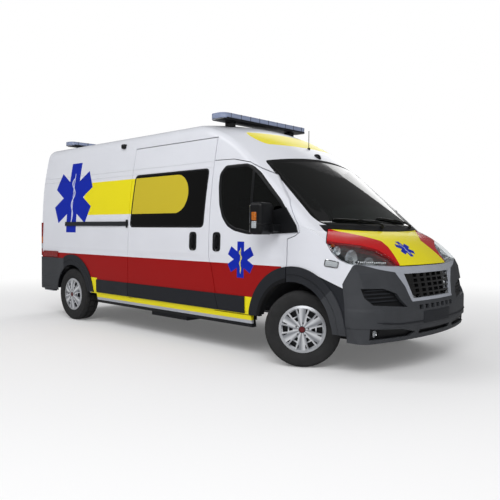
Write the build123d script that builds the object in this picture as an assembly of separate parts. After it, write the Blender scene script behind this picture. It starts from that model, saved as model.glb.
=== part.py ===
"""Long high-roof van built as an ambulance.

Millimetres. X points forward, Z up. The origin lies on the ground, midway between nose and tail
and between the two sides. Points given as (x, z) in tables are measured in metres from the ground
under the front axle, because that is where such a body is set out from.
"""
from build123d import *
from math import cos, radians, sin, sqrt
import os

# Overall sizes
LENGTH = 5998
ROOF_HEIGHT = 2522
WHEELBASE = 4035
FRONT_OVERHANG = 948
BODY_HALF_WIDTH = 1013
REAR_BUMPER_DEPTH = 84
TRIM_PROUD = 12

# Walls and gaps
WALL = 60
PANEL = 28
GLASS = 6
SEAT_GAP = 0.3
FLANGE = 16
SHUT_GAP = 8
BONNET_GAP = 9

# Wheels and steering
TYRE_RADIUS = 360
TYRE_WIDTH = 225
RIM_RADIUS = 205
FRONT_TRACK = 1810
REAR_TRACK = 1790
KINGPIN_Y = 845
STEER_ANGLE = 33
FRONT_ARCH_RADIUS = 440
REAR_ARCH_RADIUS = 415
ARCH_TRIM_WIDTH = 145

# Levels above the ground
SILL_BOTTOM = 300
DOOR_BOTTOM = 425
SILL_TOP = 421
FLOOR_TOP = 550
FLOOR_THICKNESS = 45
BELT = 1050
SLIDING_TOP = ROOF_HEIGHT - 237
CAB_ROOF_SPLIT = 2050
REAR_DOOR_BOTTOM = FLOOR_TOP + 12
REAR_DOOR_TOP = ROOF_HEIGHT - 192

# Places along the vehicle
NOSE_X = LENGTH / 2
FRONT_AXLE_X = NOSE_X - FRONT_OVERHANG
REAR_AXLE_X = FRONT_AXLE_X - WHEELBASE
BUMPER_TAIL_X = -NOSE_X
TAIL_X = BUMPER_TAIL_X + REAR_BUMPER_DEPTH
CROWN_AXIS_X = FRONT_AXLE_X - 2200
AXLE_Z = TYRE_RADIUS

# Places across the vehicle
REAR_DOOR_HALF = BODY_HALF_WIDTH - 213
FRONT_WALL_Y = 550
REAR_HOUSE_Y = 745

# Limits that lie clear of the body
BEHIND = TAIL_X - 385
AHEAD = NOSE_X + 301
ASIDE = BODY_HALF_WIDTH + 287
ABOVE = ROOF_HEIGHT + 278


def at_x(x):
    """Length coordinate of a point measured in metres from the front axle."""
    return FRONT_AXLE_X + 1000 * x


def table(points):
    """Table of (x, z) in metres from the front axle, as millimetres in the vehicle's frame."""
    return [(at_x(x), 1000 * z) for x, z in points]


def across(points, low=-ASIDE, high=ASIDE):
    """Prism across the vehicle over an outline of (x, z)."""
    face = make_face(Polyline([(x, low, z) for x, z in points], close=True))
    return extrude(face, amount=high - low, dir=(0, 1, 0))


def along(points, low, high):
    """Prism along the vehicle over an outline of (y, z)."""
    face = make_face(Polyline([(low, y, z) for y, z in points], close=True))
    return extrude(face, amount=high - low, dir=(1, 0, 0))


def upright(points, low, high):
    """Upright prism over an outline of (x, y)."""
    face = make_face(Polyline([(x, y, low) for x, y in points], close=True))
    return extrude(face, amount=high - low, dir=(0, 0, 1))


def block(x, y, z):
    """Box given by its limits (low, high) along each axis."""
    size = [high - low for low, high in (x, y, z)]
    centre = [(high + low) / 2 for low, high in (x, y, z)]
    return Pos(*centre) * Box(*size)


def rounded(solid, radius, choose):
    """The solid with the chosen edges rounded."""
    return fillet([edge for edge in solid.edges() if choose(edge)], radius)


def both_sides(shape):
    """The shape with its mirror image on the other side."""
    return [shape, shape.mirror(Plane.XZ)]


def pieces(shape):
    """The solids of a shape or of a list of shapes."""
    if isinstance(shape, (list, tuple)):
        return [solid for item in shape for solid in pieces(item)]
    return list(shape.solids())


# Body cross-section: half width and height, then a bowed side and a crowned roof
SECTION_FOOT = [(BODY_HALF_WIDTH - 40, SILL_BOTTOM), (BODY_HALF_WIDTH - 8, 470),
                (BODY_HALF_WIDTH, 900), (BODY_HALF_WIDTH - 5, BELT)]
SIDE_MIDDLE = (BODY_HALF_WIDTH - 51, 1760)
ROOF_CORNER = (BODY_HALF_WIDTH - 175, ROOF_HEIGHT - 62)
ROOF_CORNER_RADIUS = 175

# Nose and windscreen on the centre line: x and z from the front axle
NOSE_LINE = [(0.780, 0.200), (0.800, 0.262), (0.905, 0.300), (0.948, 0.420), (0.948, 0.600),
             (0.912, 0.665), (0.855, 0.915), (0.815, 0.985)]
BONNET_MIDDLE = (0.612, 1.165)
SCREEN_FOOT = (0.415, 1.276)
SCREEN_HEAD = (-0.460, 2.060)
DOME_MIDDLE = (-1.021, (ROOF_HEIGHT - 119.5) / 1000)
DOME_END = (-1.667, ROOF_HEIGHT / 1000)

# Corners in plan
NOSE_CORNER = 330
NOSE_CORNER_X = 535
TAIL_CORNER = 100
ROOF_TAIL_RADIUS = 70
PILLAR_RADIUS = 90


def moved_in(curves, inset, closed=False):
    """Flat chain of lines and arcs that keeps the inside on its left, moved in by the inset."""
    def inward(tangent):
        return Vector(-tangent.Y, tangent.X)

    before = [curves[-1] % 1 if closed else curves[0] % 0] + [curve % 1 for curve in curves]
    after = [curve % 0 for curve in curves] + [curves[0] % 0 if closed else curves[-1] % 1]
    starts = [curve @ 0 for curve in curves] + [curves[-1] @ 1]
    corners = []
    for corner, one, two in zip(starts, before, after):
        first, second = inward(one), inward(two)
        corners.append(corner + (first + second) * (inset / (1 + first.dot(second))))
    result = []
    for index, curve in enumerate(curves):
        if isinstance(curve, ThreePointArc):
            middle = curve @ 0.5 + inward(curve % 0.5) * inset
            result.append(ThreePointArc(corners[index], middle, corners[index + 1]))
        else:
            result.append(Line(corners[index], corners[index + 1]))
    return result


def flat_face(curves, *closing):
    """Face inside a chain of curves, closed through more points."""
    start, stop = curves[0] @ 0, curves[-1] @ 1
    points = [stop, *[Vector(*point) for point in closing], start]
    rest = [Line(one, two) for one, two in zip(points, points[1:]) if (one - two).length > 0.01]
    return make_face(Wire([edge for curve in [*curves, *rest] for edge in curve.edges()]))


def section_face(inset):
    """Cross-section of the body, moved in by the inset; inside faces reach below the skin."""
    corner = ROOF_CORNER
    foot = [Line(one, two) for one, two in zip(SECTION_FOOT, SECTION_FOOT[1:])]
    curves = foot + [ThreePointArc(SECTION_FOOT[-1], SIDE_MIDDLE, corner)]
    curves = curves + [ThreePointArc(corner, (0, ROOF_HEIGHT), (-corner[0], corner[1]))]
    other = [(-y, z) for y, z in SECTION_FOOT]
    far_corner = (-corner[0], corner[1])
    curves = curves + [ThreePointArc(far_corner, (-SIDE_MIDDLE[0], SIDE_MIDDLE[1]), other[-1])]
    curves = curves + [Line(two, one) for one, two in zip(other, other[1:])][::-1]
    curves = moved_in(curves, inset)
    low = 100 if inset > 0 else SILL_BOTTOM
    face = flat_face(curves, ((curves[-1] @ 1).X, low), ((curves[0] @ 0).X, low))
    face = fillet([v for v in face.vertices() if v.Y > corner[1] - 90], ROOF_CORNER_RADIUS - inset)
    return Plane.YZ * face


def front_body(inset):
    """Nose, windscreen and roof dome, turned about an upright axis."""
    nose = [(at_x(x), 1000 * z) for x, z in NOSE_LINE]
    bonnet, foot, head, dome, end = [(at_x(x), 1000 * z) for x, z in (
        BONNET_MIDDLE, SCREEN_FOOT, SCREEN_HEAD, DOME_MIDDLE, DOME_END)]
    curves = [Line(one, two) for one, two in zip(nose, nose[1:])]
    curves += [ThreePointArc(nose[-1], bonnet, foot), Line(foot, head), ThreePointArc(head, dome, end)]
    curves = moved_in(curves, inset)
    back, low, high = CROWN_AXIS_X, 100, ROOF_HEIGHT + 100
    closing = [((curves[-1] @ 1).X, high), (back, high), (back, low), ((curves[0] @ 0).X, low)]
    face = flat_face(curves, *closing)
    return revolve(Plane.XZ * face, axis=Axis((back, 0, 0), (0, 0, 1)), revolution_arc=360)


def plan_body(inset):
    """Upright prism over the plan outline, with rounded nose and tail corners."""
    side = BODY_HALF_WIDTH + 2
    centre_x = FRONT_AXLE_X + NOSE_CORNER_X
    centre_y = side - NOSE_CORNER
    meet = radians(13.6)
    middle = radians(52)
    meet_x, meet_y = centre_x + NOSE_CORNER * cos(meet), centre_y + NOSE_CORNER * sin(meet)
    mid_x, mid_y = centre_x + NOSE_CORNER * cos(middle), centre_y + NOSE_CORNER * sin(middle)
    far_x, far_y = meet_x + 700 * sin(meet), meet_y - 700 * cos(meet)
    curves = [Line((TAIL_X, -side), (centre_x, -side)),
              ThreePointArc((centre_x, -side), (mid_x, -mid_y), (meet_x, -meet_y)),
              Line((meet_x, -meet_y), (far_x, -far_y)), Line((far_x, -far_y), (far_x, far_y)),
              Line((far_x, far_y), (meet_x, meet_y)),
              ThreePointArc((meet_x, meet_y), (mid_x, mid_y), (centre_x, side)),
              Line((centre_x, side), (TAIL_X, side)), Line((TAIL_X, side), (TAIL_X, -side))]
    face = flat_face(moved_in(curves, inset, closed=True))
    face = fillet([v for v in face.vertices() if v.X < TAIL_X + inset + 10], TAIL_CORNER - inset / 2)
    return extrude(face, amount=3000)


def tail_body(inset):
    """Prism across the vehicle that rounds the rear edge of the roof."""
    low, high = 50, ROOF_HEIGHT - inset
    ahead, behind = NOSE_X + 50, TAIL_X + inset
    face = make_face(Polyline((behind, low), (ahead, low), (ahead, high), (behind, high), close=True))
    face = fillet([v for v in face.vertices() if v.X < 0 and v.Y > 2000], ROOF_TAIL_RADIUS - inset / 2)
    return extrude(Plane.XZ * face, amount=1300, both=True)


def body_solid(inset):
    """The whole body as one solid, its skin moved in by the inset."""
    section = Pos(-NOSE_X - 50, 0, 0) * extrude(section_face(inset), amount=LENGTH + 100, dir=(1, 0, 0))
    shell = (section & plan_body(inset) & tail_body(inset)).solids()[0]
    behind = block((TAIL_X - 100, CROWN_AXIS_X), (-1150, 1150), (0, 2700))
    front = ((shell - behind) & front_body(inset)).solids()[0]
    if inset == 0:
        cab_box = block((at_x(-1.751), at_x(0.649)), (-1100, 1100), (1000, 2700))
        cab = rounded((front & cab_box).solids()[0], PILLAR_RADIUS, lambda e: (
            (e @ 0.5).X > at_x(-1.151) and e.geom_type == GeomType.BSPLINE
            and 1000 * SCREEN_FOOT[1] < (e @ 0.5).Z < ROOF_HEIGHT - 130 and e.length > 300))
        front = (front - cab_box) + cab
    return (front + (shell & behind)).solids()[0]


SKIN = body_solid(0)
INNER = body_solid(WALL)
SHELL = SKIN - INNER
THIN_SHELL = SKIN - body_solid(PANEL)
GLASS_SHELL = SKIN - body_solid(GLASS)
PROUD_SHELL = body_solid(-TRIM_PROUD) - SKIN

# Outlines in side view: x and z from the front axle
DOOR_FOOT = DOOR_BOTTOM / 1000
FRONT_DOOR = [(-1.185, 2.030), (-1.185, 1.000), (-1.140, 0.900), (-1.105, 0.750), (-1.075, 0.600),
              (-1.020, DOOR_FOOT), (-0.300, DOOR_FOOT), (-0.300, 0.600), (-0.085, 0.600), (-0.085, 1.200),
              (0.020, 1.235), (0.062, 1.268), (0.040, 1.334), (-0.115, 1.570), (-0.388, 1.842),
              (-0.651, 1.974), (-0.884, 2.022)]
FRONT_WINDOW = [(-0.030, 1.285), (-0.600, 1.255), (-0.800, 1.290), (-0.900, 1.335), (-0.980, 1.425),
                (-1.030, 1.550), (-1.060, 1.750), (-1.060, 1.870), (-0.990, 1.945), (-0.680, 1.945),
                (-0.600, 1.915), (-0.500, 1.845), (-0.350, 1.705), (-0.200, 1.565), (-0.050, 1.385)]
DOOR_HEAD = SLIDING_TOP / 1000
SLIDING_DOOR = [(-2.680, DOOR_FOOT), (-1.020, DOOR_FOOT), (-1.075, 0.600), (-1.105, 0.750), (-1.140, 0.900),
                (-1.185, 1.000), (-1.185, DOOR_HEAD), (-2.680, DOOR_HEAD)]
SIDE_WINDOW = [(-2.640, 1.315), (-1.290, 1.315), (-1.260, 1.940), (-2.600, 1.940)]
REAR_WINDOW = [(110, 1330), (690, 1330), (650, 1960), (110, 1960)]

# Windscreen seen from ahead: half width and height
SCREEN_TOP = 1995
SCREEN_CROWN = 2060
SCREEN_FOOT_Z = 1335
SCREEN_HALF_TOP = BODY_HALF_WIDTH - 218
SCREEN_HALF_FOOT = BODY_HALF_WIDTH - 128
TRIM_FOOT = DOOR_BOTTOM + 13
TRIM_TOP = TRIM_FOOT + 172


def grown(points, amount, radius=0):
    """Outline prism across the vehicle, grown by an amount, with rounded corners."""
    face = make_face(Polyline([(x, -ASIDE, z) for x, z in table(points)], close=True))
    if radius:
        face = fillet(face.vertices(), radius)
    if amount:
        face = offset(face, amount=amount)
    return extrude(face, amount=2 * ASIDE, dir=(0, 1, 0))


def arch(centre_x, radius):
    """Cylinder across the vehicle about an axle, for wheel openings and liners."""
    return Pos(centre_x, 0, AXLE_Z) * Rot(90, 0, 0) * Cylinder(radius, 2 * ASIDE)


def screen_prism(amount):
    """Windscreen outline seen from ahead, as a prism along the vehicle."""
    high = (SCREEN_HALF_TOP, SCREEN_TOP)
    low = (SCREEN_HALF_FOOT, SCREEN_FOOT_Z)
    x = at_x(-0.9)
    edges = [ThreePointArc((x, high[0], high[1]), (x, 0, SCREEN_CROWN), (x, -high[0], high[1])),
             Line((x, -high[0], high[1]), (x, -low[0], low[1])),
             Line((x, -low[0], low[1]), (x, low[0], low[1])),
             Line((x, low[0], low[1]), (x, high[0], high[1]))]
    face = make_face(Wire([edge for curve in edges for edge in curve.edges()]))
    face = fillet([v for v in face.vertices() if v.Z < 1700], 90)
    face = fillet([v for v in face.vertices() if v.Z > 1980], 40)
    if amount:
        face = offset(face, amount=amount)
    return extrude(face, amount=1700, dir=(1, 0, 0))


RIGHT = block((BEHIND, AHEAD), (-ASIDE, -500), (0, ABOVE))
FRONT_ARCH = arch(FRONT_AXLE_X, FRONT_ARCH_RADIUS)
REAR_ARCH = arch(REAR_AXLE_X, REAR_ARCH_RADIUS)
FRONT_DOOR_CUT = grown(FRONT_DOOR, SHUT_GAP / 2)
SIDE_WINDOW_CUT = grown(SIDE_WINDOW, 0, 45)

# Bonnet and headlamp outlines, projected square to the bonnet's slope on to one level
SLOPE = 0.75
SLOPE_LEVEL = 1150
BONNET_SIDE = [(0.345, 1.060), (0.345, 1.005), (0.412, 0.932), (0.547, 0.708), (0.654, 0.569),
               (0.799, 0.486), (0.925, 0.458), (0.945, 0.430), (0.962, 0.200)]
BONNET_REAR_RADIUS = 2230
BONNET_REAR_X = 0.415
BONNET_REAR_CORNER = (0.258, 0.830)
LAMP_UNDER = [(0.300, 1.230), (0.340, 1.215), (0.370, 1.170), (0.420, 1.095), (0.500, 1.032),
              (0.597, 0.996), (0.660, 0.985), (0.830, 0.955), (1.100, 0.955), (1.100, 1.500), (0.300, 1.500)]
LAMP_PLAN = [(0.30, -1.10), (0.345, -1.012), (0.414, -0.940), (0.551, -0.714), (0.659, -0.575),
             (0.802, -0.492), (0.925, -0.466), (1.02, -0.466), (1.02, -1.10)]


def square_to_slope(points, amount=0):
    """Prism over a plan outline (x from the axle, y in metres), leaning square to the bonnet."""
    low, high = -400, 500
    outline = [(at_x(x), 1000 * y) for x, y in points]
    face = make_face(Polyline([(x, y, SLOPE_LEVEL) for x, y in outline], close=True))
    if amount:
        face = offset(face, amount=amount)
    start = Pos(low * SLOPE, 0, low) * face
    return extrude(start, amount=(high - low) * sqrt(1 + SLOPE ** 2), dir=(SLOPE, 0, 1))


def bonnet_prism(amount):
    """Space taken by the bonnet in plan, grown by an amount."""
    right = [(x, -y) for x, y in BONNET_SIDE]
    left = BONNET_SIDE[::-1]
    outline = [(-0.4, -1.060), *right, *left, (-0.4, 1.060)]
    return square_to_slope(outline, amount)


def bonnet_rear(amount):
    """Upright region ahead of the bonnet's rear edge, which follows the windscreen."""
    centre = at_x(BONNET_REAR_X) - BONNET_REAR_RADIUS
    drum = Pos(centre, 0, 1300) * Cylinder(BONNET_REAR_RADIUS - amount, 1400)
    corner_x, corner_y = at_x(BONNET_REAR_CORNER[0]) - amount, 1000 * BONNET_REAR_CORNER[1]
    run = (at_x(0.375) - at_x(BONNET_REAR_CORNER[0])) / (1005 - corner_y)
    ahead = [(corner_x, corner_y), (corner_x + run * 300, corner_y + 300), (at_x(1.3), corner_y + 300),
             (at_x(1.3), -corner_y - 300), (corner_x + run * 300, -corner_y - 300), (corner_x, -corner_y)]
    return upright(ahead, 700, 1600) - drum


BONNET_FRONT_Z = 968


def bonnet_space(amount):
    """Space taken by the bonnet, grown by an amount."""
    above = block((at_x(0), at_x(1.2)), (-1100, 1100), (BONNET_FRONT_Z - amount, 1500))
    return bonnet_prism(amount) & bonnet_rear(amount) & above


BONNET_ZONE = bonnet_space(0)
BONNET_SPACE = bonnet_space(BONNET_GAP)
LAMP_ZONE = across(table(LAMP_UNDER))
GLAZED = screen_prism(0)


def roof():
    """Roof over load space and cab with its dome, down to the windscreen and the doors."""
    split_x, front_x, edge = at_x(-1.178), at_x(0.3), SLIDING_TOP + 6
    outline = [(BEHIND, edge), (split_x, edge), (split_x, CAB_ROOF_SPLIT),
               (front_x, CAB_ROOF_SPLIT), (front_x, ABOVE), (BEHIND, ABOVE)]
    header = block((at_x(-0.75), at_x(-0.2)), (-760, 760), (1900, CAB_ROOF_SPLIT + 1))
    zone = across(outline) + header
    return (SHELL & zone) - GLAZED - rear_door_space(SHUT_GAP)


def rear_door_space(amount):
    """Opening of both rear doors."""
    return block((TAIL_X - 100, TAIL_X + WALL + 40), (-REAR_DOOR_HALF - amount, REAR_DOOR_HALF + amount),
                 (REAR_DOOR_BOTTOM - amount, REAR_DOOR_TOP + amount))


def side_panels():
    """Right rear quarter behind the sliding door, and the left side from cab door to tail."""
    low, high = SILL_TOP + SEAT_GAP, SLIDING_TOP + 6 - SEAT_GAP
    quarter = block((BEHIND, at_x(-2.680) - SHUT_GAP / 2), (-ASIDE, -500), (low, high))
    left = block((BEHIND, at_x(-0.9)), (500, ASIDE), (low, high)) - FRONT_DOOR_CUT
    left = left - block((at_x(-1.185) + SHUT_GAP / 2, at_x(0)), (500, ASIDE), (1900, ABOVE))
    under_doors = block((TAIL_X - 10, TAIL_X + WALL), (-REAR_DOOR_HALF - SHUT_GAP, REAR_DOOR_HALF + SHUT_GAP),
                        (low - 10, REAR_DOOR_BOTTOM))
    cut = REAR_ARCH + rear_door_space(SHUT_GAP) + under_doors
    right_panel = (SHELL & quarter) - cut
    left_panel = (SHELL & left) - cut - SIDE_WINDOW_CUT
    return right_panel, left_panel


def sliding_door():
    """Sliding door on the right, standing closed."""
    zone = grown(SLIDING_DOOR, -SHUT_GAP / 2) & RIGHT
    foot = block((at_x(-2.6), at_x(-1.1)), (-ASIDE, -500), (SILL_TOP + SEAT_GAP, DOOR_BOTTOM + 20))
    zone = zone + foot
    trim = PROUD_SHELL & zone & block((BEHIND, AHEAD), (-ASIDE, 0), (TRIM_FOOT, TRIM_TOP))
    return ((SHELL & zone) - SIDE_WINDOW_CUT) + trim


def side_glass():
    """Fixed panes of the load space, bonded into the sliding door and the left side."""
    pane = GLASS_SHELL & grown(SIDE_WINDOW, -SEAT_GAP, 45)
    return pieces(pane)


def front_door():
    """Right cab door with its lower trims; the left one mirrors it."""
    zone = (grown(FRONT_DOOR, -SHUT_GAP / 2) & RIGHT) - FRONT_ARCH
    trim_zone = (arch(FRONT_AXLE_X, FRONT_ARCH_RADIUS + ARCH_TRIM_WIDTH)
                 + block((at_x(-1.1), at_x(-0.64)), (-ASIDE, 0), (TRIM_FOOT, TRIM_TOP)))
    trim = PROUD_SHELL & zone & trim_zone
    flange = (SHELL & zone) - body_solid(PANEL)
    frame = (SHELL & grown(FRONT_DOOR, -SHUT_GAP / 2 - FLANGE) & RIGHT) - FRONT_ARCH
    return ((flange + frame) - grown(FRONT_WINDOW, 0, 20)) + trim


def front_door_glass():
    """Pane of the right cab door."""
    return GLASS_SHELL & grown(FRONT_WINDOW, -SEAT_GAP, 20) & RIGHT


def pillars():
    """Windscreen pillars, from the wings up to the roof."""
    zone = across(table([(-1.178, 1.990), (-0.2, 1.330), (0.40, 1.330), (0.40, 2.050), (-1.178, 2.050)]))
    zone = zone - block((at_x(-0.75), at_x(-0.2)), (-760, 760), (1900, 2100))
    foot = block((at_x(0.05), at_x(0.5)), (-880.3, 880.3), (1100, SCREEN_FOOT_Z + 1))
    shell = (SHELL & zone) - GLAZED - FRONT_DOOR_CUT - foot
    return [solid for solid in shell.solids() if solid.volume > 1e5]


def windscreen():
    """Bonded windscreen."""
    near = block((at_x(-0.9), at_x(0.6)), (-ASIDE, ASIDE), (1250, 2100))
    return (GLASS_SHELL & screen_prism(-SEAT_GAP) & near) - FRONT_DOOR_CUT


def cowl():
    """Plastic panel between windscreen and bonnet, with the panel under it."""
    zone = block((at_x(0.06), at_x(0.5)), (-880, 880), (1180, SCREEN_FOOT_Z - SEAT_GAP))
    return (SHELL & zone) - BONNET_SPACE


def bonnet():
    """Bonnet, hinged along its rear edge."""
    return THIN_SHELL & BONNET_ZONE


BUMPER_EDGE = [(0.600, 1.100), (0.655, 0.992), (0.552, 0.815), (0.575, 0.640), (0.585, 0.360),
               (0.560, 0.100), (1.300, 0.100), (1.300, 1.100)]
BUMPER_TOP = [(-1100, 0.998), (-945, 0.995), (-729, 0.941), (-557, 0.913), (-455, 0.785), (-398, 0.645),
              (398, 0.645), (455, 0.785), (557, 0.913), (729, 0.941), (945, 0.995), (1100, 0.998)]


def wings():
    """Front wings between door, bonnet, headlamp, bumper and wheel arch."""
    zone = block((at_x(-0.078), at_x(0.9)), (-ASIDE, -500), (AXLE_Z, SCREEN_FOOT_Z - 5 - SEAT_GAP))
    cut = (FRONT_ARCH + across(table(BUMPER_EDGE)) + BONNET_SPACE + FRONT_DOOR_CUT
           + headlamp_zone(SEAT_GAP))
    shell = (THIN_SHELL & zone) - cut - block((at_x(0.05), at_x(0.6)), (-880.3, 0), (1100, 1400))
    wing = max(shell.solids(), key=lambda s: s.volume)
    trim = PROUD_SHELL & zone & arch(FRONT_AXLE_X, FRONT_ARCH_RADIUS + ARCH_TRIM_WIDTH)
    trim = trim - FRONT_ARCH - across(table(BUMPER_EDGE))
    return both_sides(wing), both_sides(max(trim.solids(), key=lambda s: s.volume))


# Round fog lamps in the bumper
FOG_Y = 840
FOG_Z = 388
FOG_RADIUS = 34


def headlamp_zone(amount):
    """Space of the right headlamp."""
    near = block((at_x(0.2), at_x(1.1)), (-ASIDE, -300), (900, 1300 + amount))
    return square_to_slope(LAMP_PLAN, amount) & grown(LAMP_UNDER, amount) & near


def headlamps():
    """Headlamps, with the round fog lamps in the bumper."""
    lamp = (THIN_SHELL & headlamp_zone(-SEAT_GAP)) - BONNET_SPACE
    lamp = max(lamp.solids(), key=lambda s: s.volume)
    fog = Pos(at_x(0.742), -FOG_Y, FOG_Z) * Rot(0, 90, 0) * Cylinder(FOG_RADIUS, 60)
    return both_sides(lamp) + both_sides(fog)


def bumper_zone():
    """Nose region that belongs to the bumper and the grille surround."""
    zone = across(table(BUMPER_EDGE)) & block((at_x(0.4), at_x(1.1)), (-ASIDE, ASIDE), (200, 1050))
    lamp = headlamp_zone(SEAT_GAP)
    return zone - BONNET_SPACE - lamp - lamp.mirror(Plane.XZ)


def surround_prism(amount=0):
    """Region of the grille surround seen from ahead."""
    points = [(y, 1000 * z) for y, z in BUMPER_TOP] + [(1100, 1100), (-1100, 1100)]
    face = make_face(Polyline([(at_x(0.3), y, z) for y, z in points], close=True))
    if amount:
        face = offset(face, amount=amount)
    return extrude(face, amount=900, dir=(1, 0, 0))


GRILLE_OPENING = [(-440, 895), (440, 895), (362, 672), (-362, 672)]
UPPER_VENT = [(-965, 783), (-730, 775), (-585, 725), (-500, 605), (-890, 640), (-945, 700)]
FOG_RECESS = [(-910, 435), (-570, 415), (-370, 372), (-430, 338), (-915, 338)]
SLOT_COUNT = 7


def front_bumper():
    """Front bumper with its vents, row of slots, low intake and lamp recesses."""
    shell = (THIN_SHELL & bumper_zone()) - surround_prism(SEAT_GAP)
    shell = max(shell.solids(), key=lambda s: s.volume)
    cuts = [along(UPPER_VENT, at_x(0.3), at_x(1.2)), along(FOG_RECESS, at_x(0.3), at_x(1.2))]
    cuts = cuts + [cut.mirror(Plane.XZ) for cut in cuts]
    pitch = 98
    for index in range(SLOT_COUNT):
        y = pitch * (index - (SLOT_COUNT - 1) / 2)
        cuts.append(block((at_x(0.7), at_x(1.1)), (y - 32, y + 32), (572, 612)))
    cuts.append(block((at_x(0.7), at_x(1.1)), (-300, 300), (345, 385)))
    for cut in cuts:
        shell = shell - cut
    return shell


def bumper_backs():
    """Dark liners behind the vents, the slots and the lamp recesses."""
    liner = body_solid(PANEL) - body_solid(PANEL + 12)
    window = block((at_x(0.55), at_x(1.1)), (-960, -330), (320, 800))
    low = block((at_x(0.55), at_x(1.1)), (-340, 340), (325, 640))
    liner = liner & bumper_zone() & (window + low + window.mirror(Plane.XZ))
    fog_hole = Pos(at_x(0.72), -FOG_Y, FOG_Z) * Rot(0, 90, 0) * Cylinder(FOG_RADIUS + SEAT_GAP, 300)
    liner = liner - fog_hole - fog_hole.mirror(Plane.XZ) - surround_prism(SEAT_GAP)
    return [solid for solid in liner.solids() if solid.volume > 1e5]


def grille_surround():
    """Painted band from headlamp to headlamp around the grille."""
    band = (THIN_SHELL & bumper_zone() & surround_prism()) - along(GRILLE_OPENING, at_x(0.3), at_x(1.2))
    return max(band.solids(), key=lambda s: s.volume)


def grille():
    """Grille bars behind the opening, on their frame."""
    back = body_solid(PANEL) - body_solid(PANEL + 14)
    zone = along([(-455, 925), (455, 925), (385, 655), (-385, 655)], at_x(0.5), at_x(1.2)) & bumper_zone()
    frame = back & zone
    bars = THIN_SHELL & along(GRILLE_OPENING, at_x(0.5), at_x(1.2))
    rows = [block((at_x(0.5), at_x(1.2)), (-600, 600), (z, z + 16)) for z in (706, 752, 798, 844)]
    bars_cut = bars & (rows[0] + rows[1] + rows[2] + rows[3])
    posts = [block((at_x(0.5), at_x(1.2)), (y - 4, y + 4), (680, 890)) for y in (-240, -120, 0, 120, 240)]
    setback = body_solid(8)
    for post in posts:
        bars_cut = bars_cut + (bars & post)
    inside = along([(-436, 893), (436, 893), (359, 674), (-359, 674)], at_x(0.5), at_x(1.2))
    return frame + (bars_cut & setback & inside)


def floor():
    """Floor plate with frame rails, crossmembers and sills."""
    top = FLOOR_TOP
    under = top - FLOOR_THICKNESS
    plate = block((TAIL_X + WALL + SEAT_GAP, at_x(-0.52)), (-930, 930), (under, top))
    tail = block((TAIL_X + 10, TAIL_X + 100), (-REAR_DOOR_HALF, REAR_DOOR_HALF), (under, top))
    plate = plate & body_solid(WALL + SEAT_GAP)
    toe = block((at_x(-0.52), at_x(0.10)), (-FRONT_WALL_Y + 20, FRONT_WALL_Y - 20), (under, top))
    wells = REAR_ARCH & block((BEHIND, AHEAD), (REAR_HOUSE_Y, ASIDE), (0, 2000))
    plate = (plate + tail + toe) - wells - wells.mirror(Plane.XZ)
    rails = [block((TAIL_X + 10, at_x(0.72)), (y - 40, y + 40), (under - 100, under)) for y in (-440, 440)]
    members = [block((x - 40, x + 40), (-930, 930), (under - 60, under))
               for x in (at_x(-0.75), at_x(-1.7), at_x(-2.25), at_x(-2.9), TAIL_X + 266)]
    body = plate
    for part in rails + members:
        body = body + part
    front_span = (at_x(-3.42), at_x(-0.56))
    rear_span = (TAIL_X + 90, REAR_AXLE_X - REAR_ARCH_RADIUS - 170)
    sill_zone = (block(front_span, (-ASIDE, ASIDE), (SILL_BOTTOM, SILL_TOP))
                 + block(rear_span, (-ASIDE, ASIDE), (SILL_BOTTOM + 60, SILL_TOP)))
    sills = SHELL & sill_zone
    web_spans = (front_span, rear_span)
    for low, high in web_spans:
        for y in (-930, 905):
            body = body + block((low, high), (y, y + 25), (SILL_TOP - 40, under + 20))
        for y in (-975, 905):
            body = body + block((low, high), (y, y + 70), (SILL_TOP - 50, SILL_TOP))
    return body + sills


def rear_wheel_houses():
    """Boxes over the rear wheels inside the load space."""
    reach = block((BEHIND, AHEAD), (REAR_HOUSE_Y - 20, BODY_HALF_WIDTH - 69), (0, 2000))
    outer = arch(REAR_AXLE_X, REAR_ARCH_RADIUS + 20) & reach
    inner = REAR_ARCH & block((BEHIND, AHEAD), (REAR_HOUSE_Y, ASIDE), (0, 2000))
    keep = block((BEHIND, AHEAD), (0, ASIDE), (FLOOR_TOP + SEAT_GAP, 2000))
    house = (outer - inner) & keep
    return both_sides(house)


def front_bay():
    """Bulkhead ahead of the cab, inner wings and arch liners of the engine bay."""
    span = (at_x(0.101), at_x(0.131))
    wall = block(span, (-FRONT_WALL_Y, FRONT_WALL_Y), (FLOOR_TOP - FLOOR_THICKNESS + SEAT_GAP, 900))
    upper = block(span, (-880, 880), (AXLE_Z + FRONT_ARCH_RADIUS + 10, 1400))
    upper = upper & body_solid(WALL + SEAT_GAP)
    sides = [block((at_x(-0.50), at_x(0.56)), (y, y + 16), (405.3, 800))
             for y in (-FRONT_WALL_Y - 16, FRONT_WALL_Y)]
    ring = arch(FRONT_AXLE_X, FRONT_ARCH_RADIUS + 20) - arch(FRONT_AXLE_X, FRONT_ARCH_RADIUS + 4)
    band = block((at_x(-0.5), at_x(0.5)), (FRONT_WALL_Y, 940), (AXLE_Z + 140, 1000))
    reach = block((at_x(-0.06), at_x(0.5)), (900, 1100), (AXLE_Z + 200, 1000)) & body_solid(PANEL + SEAT_GAP)
    reach = reach - across(table(BUMPER_EDGE))
    liner = (ring & band) + (ring & reach)
    front_panel = block((at_x(0.62), at_x(0.64)), (-500, 500), (520, 940))
    bay = wall + upper + sides[0] + sides[1] + liner + liner.mirror(Plane.XZ)
    shelf = [block((at_x(0.131), at_x(0.64)), (y, y + 30), (860, 940)) for y in (-530, 500)]
    posts = [block((at_x(0.50), at_x(0.56)), (y, y + 30), (600, 860))
             for y in (-FRONT_WALL_Y, FRONT_WALL_Y - 30)]
    for part in shelf + posts:
        bay = bay + part
    return bay + front_panel


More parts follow.
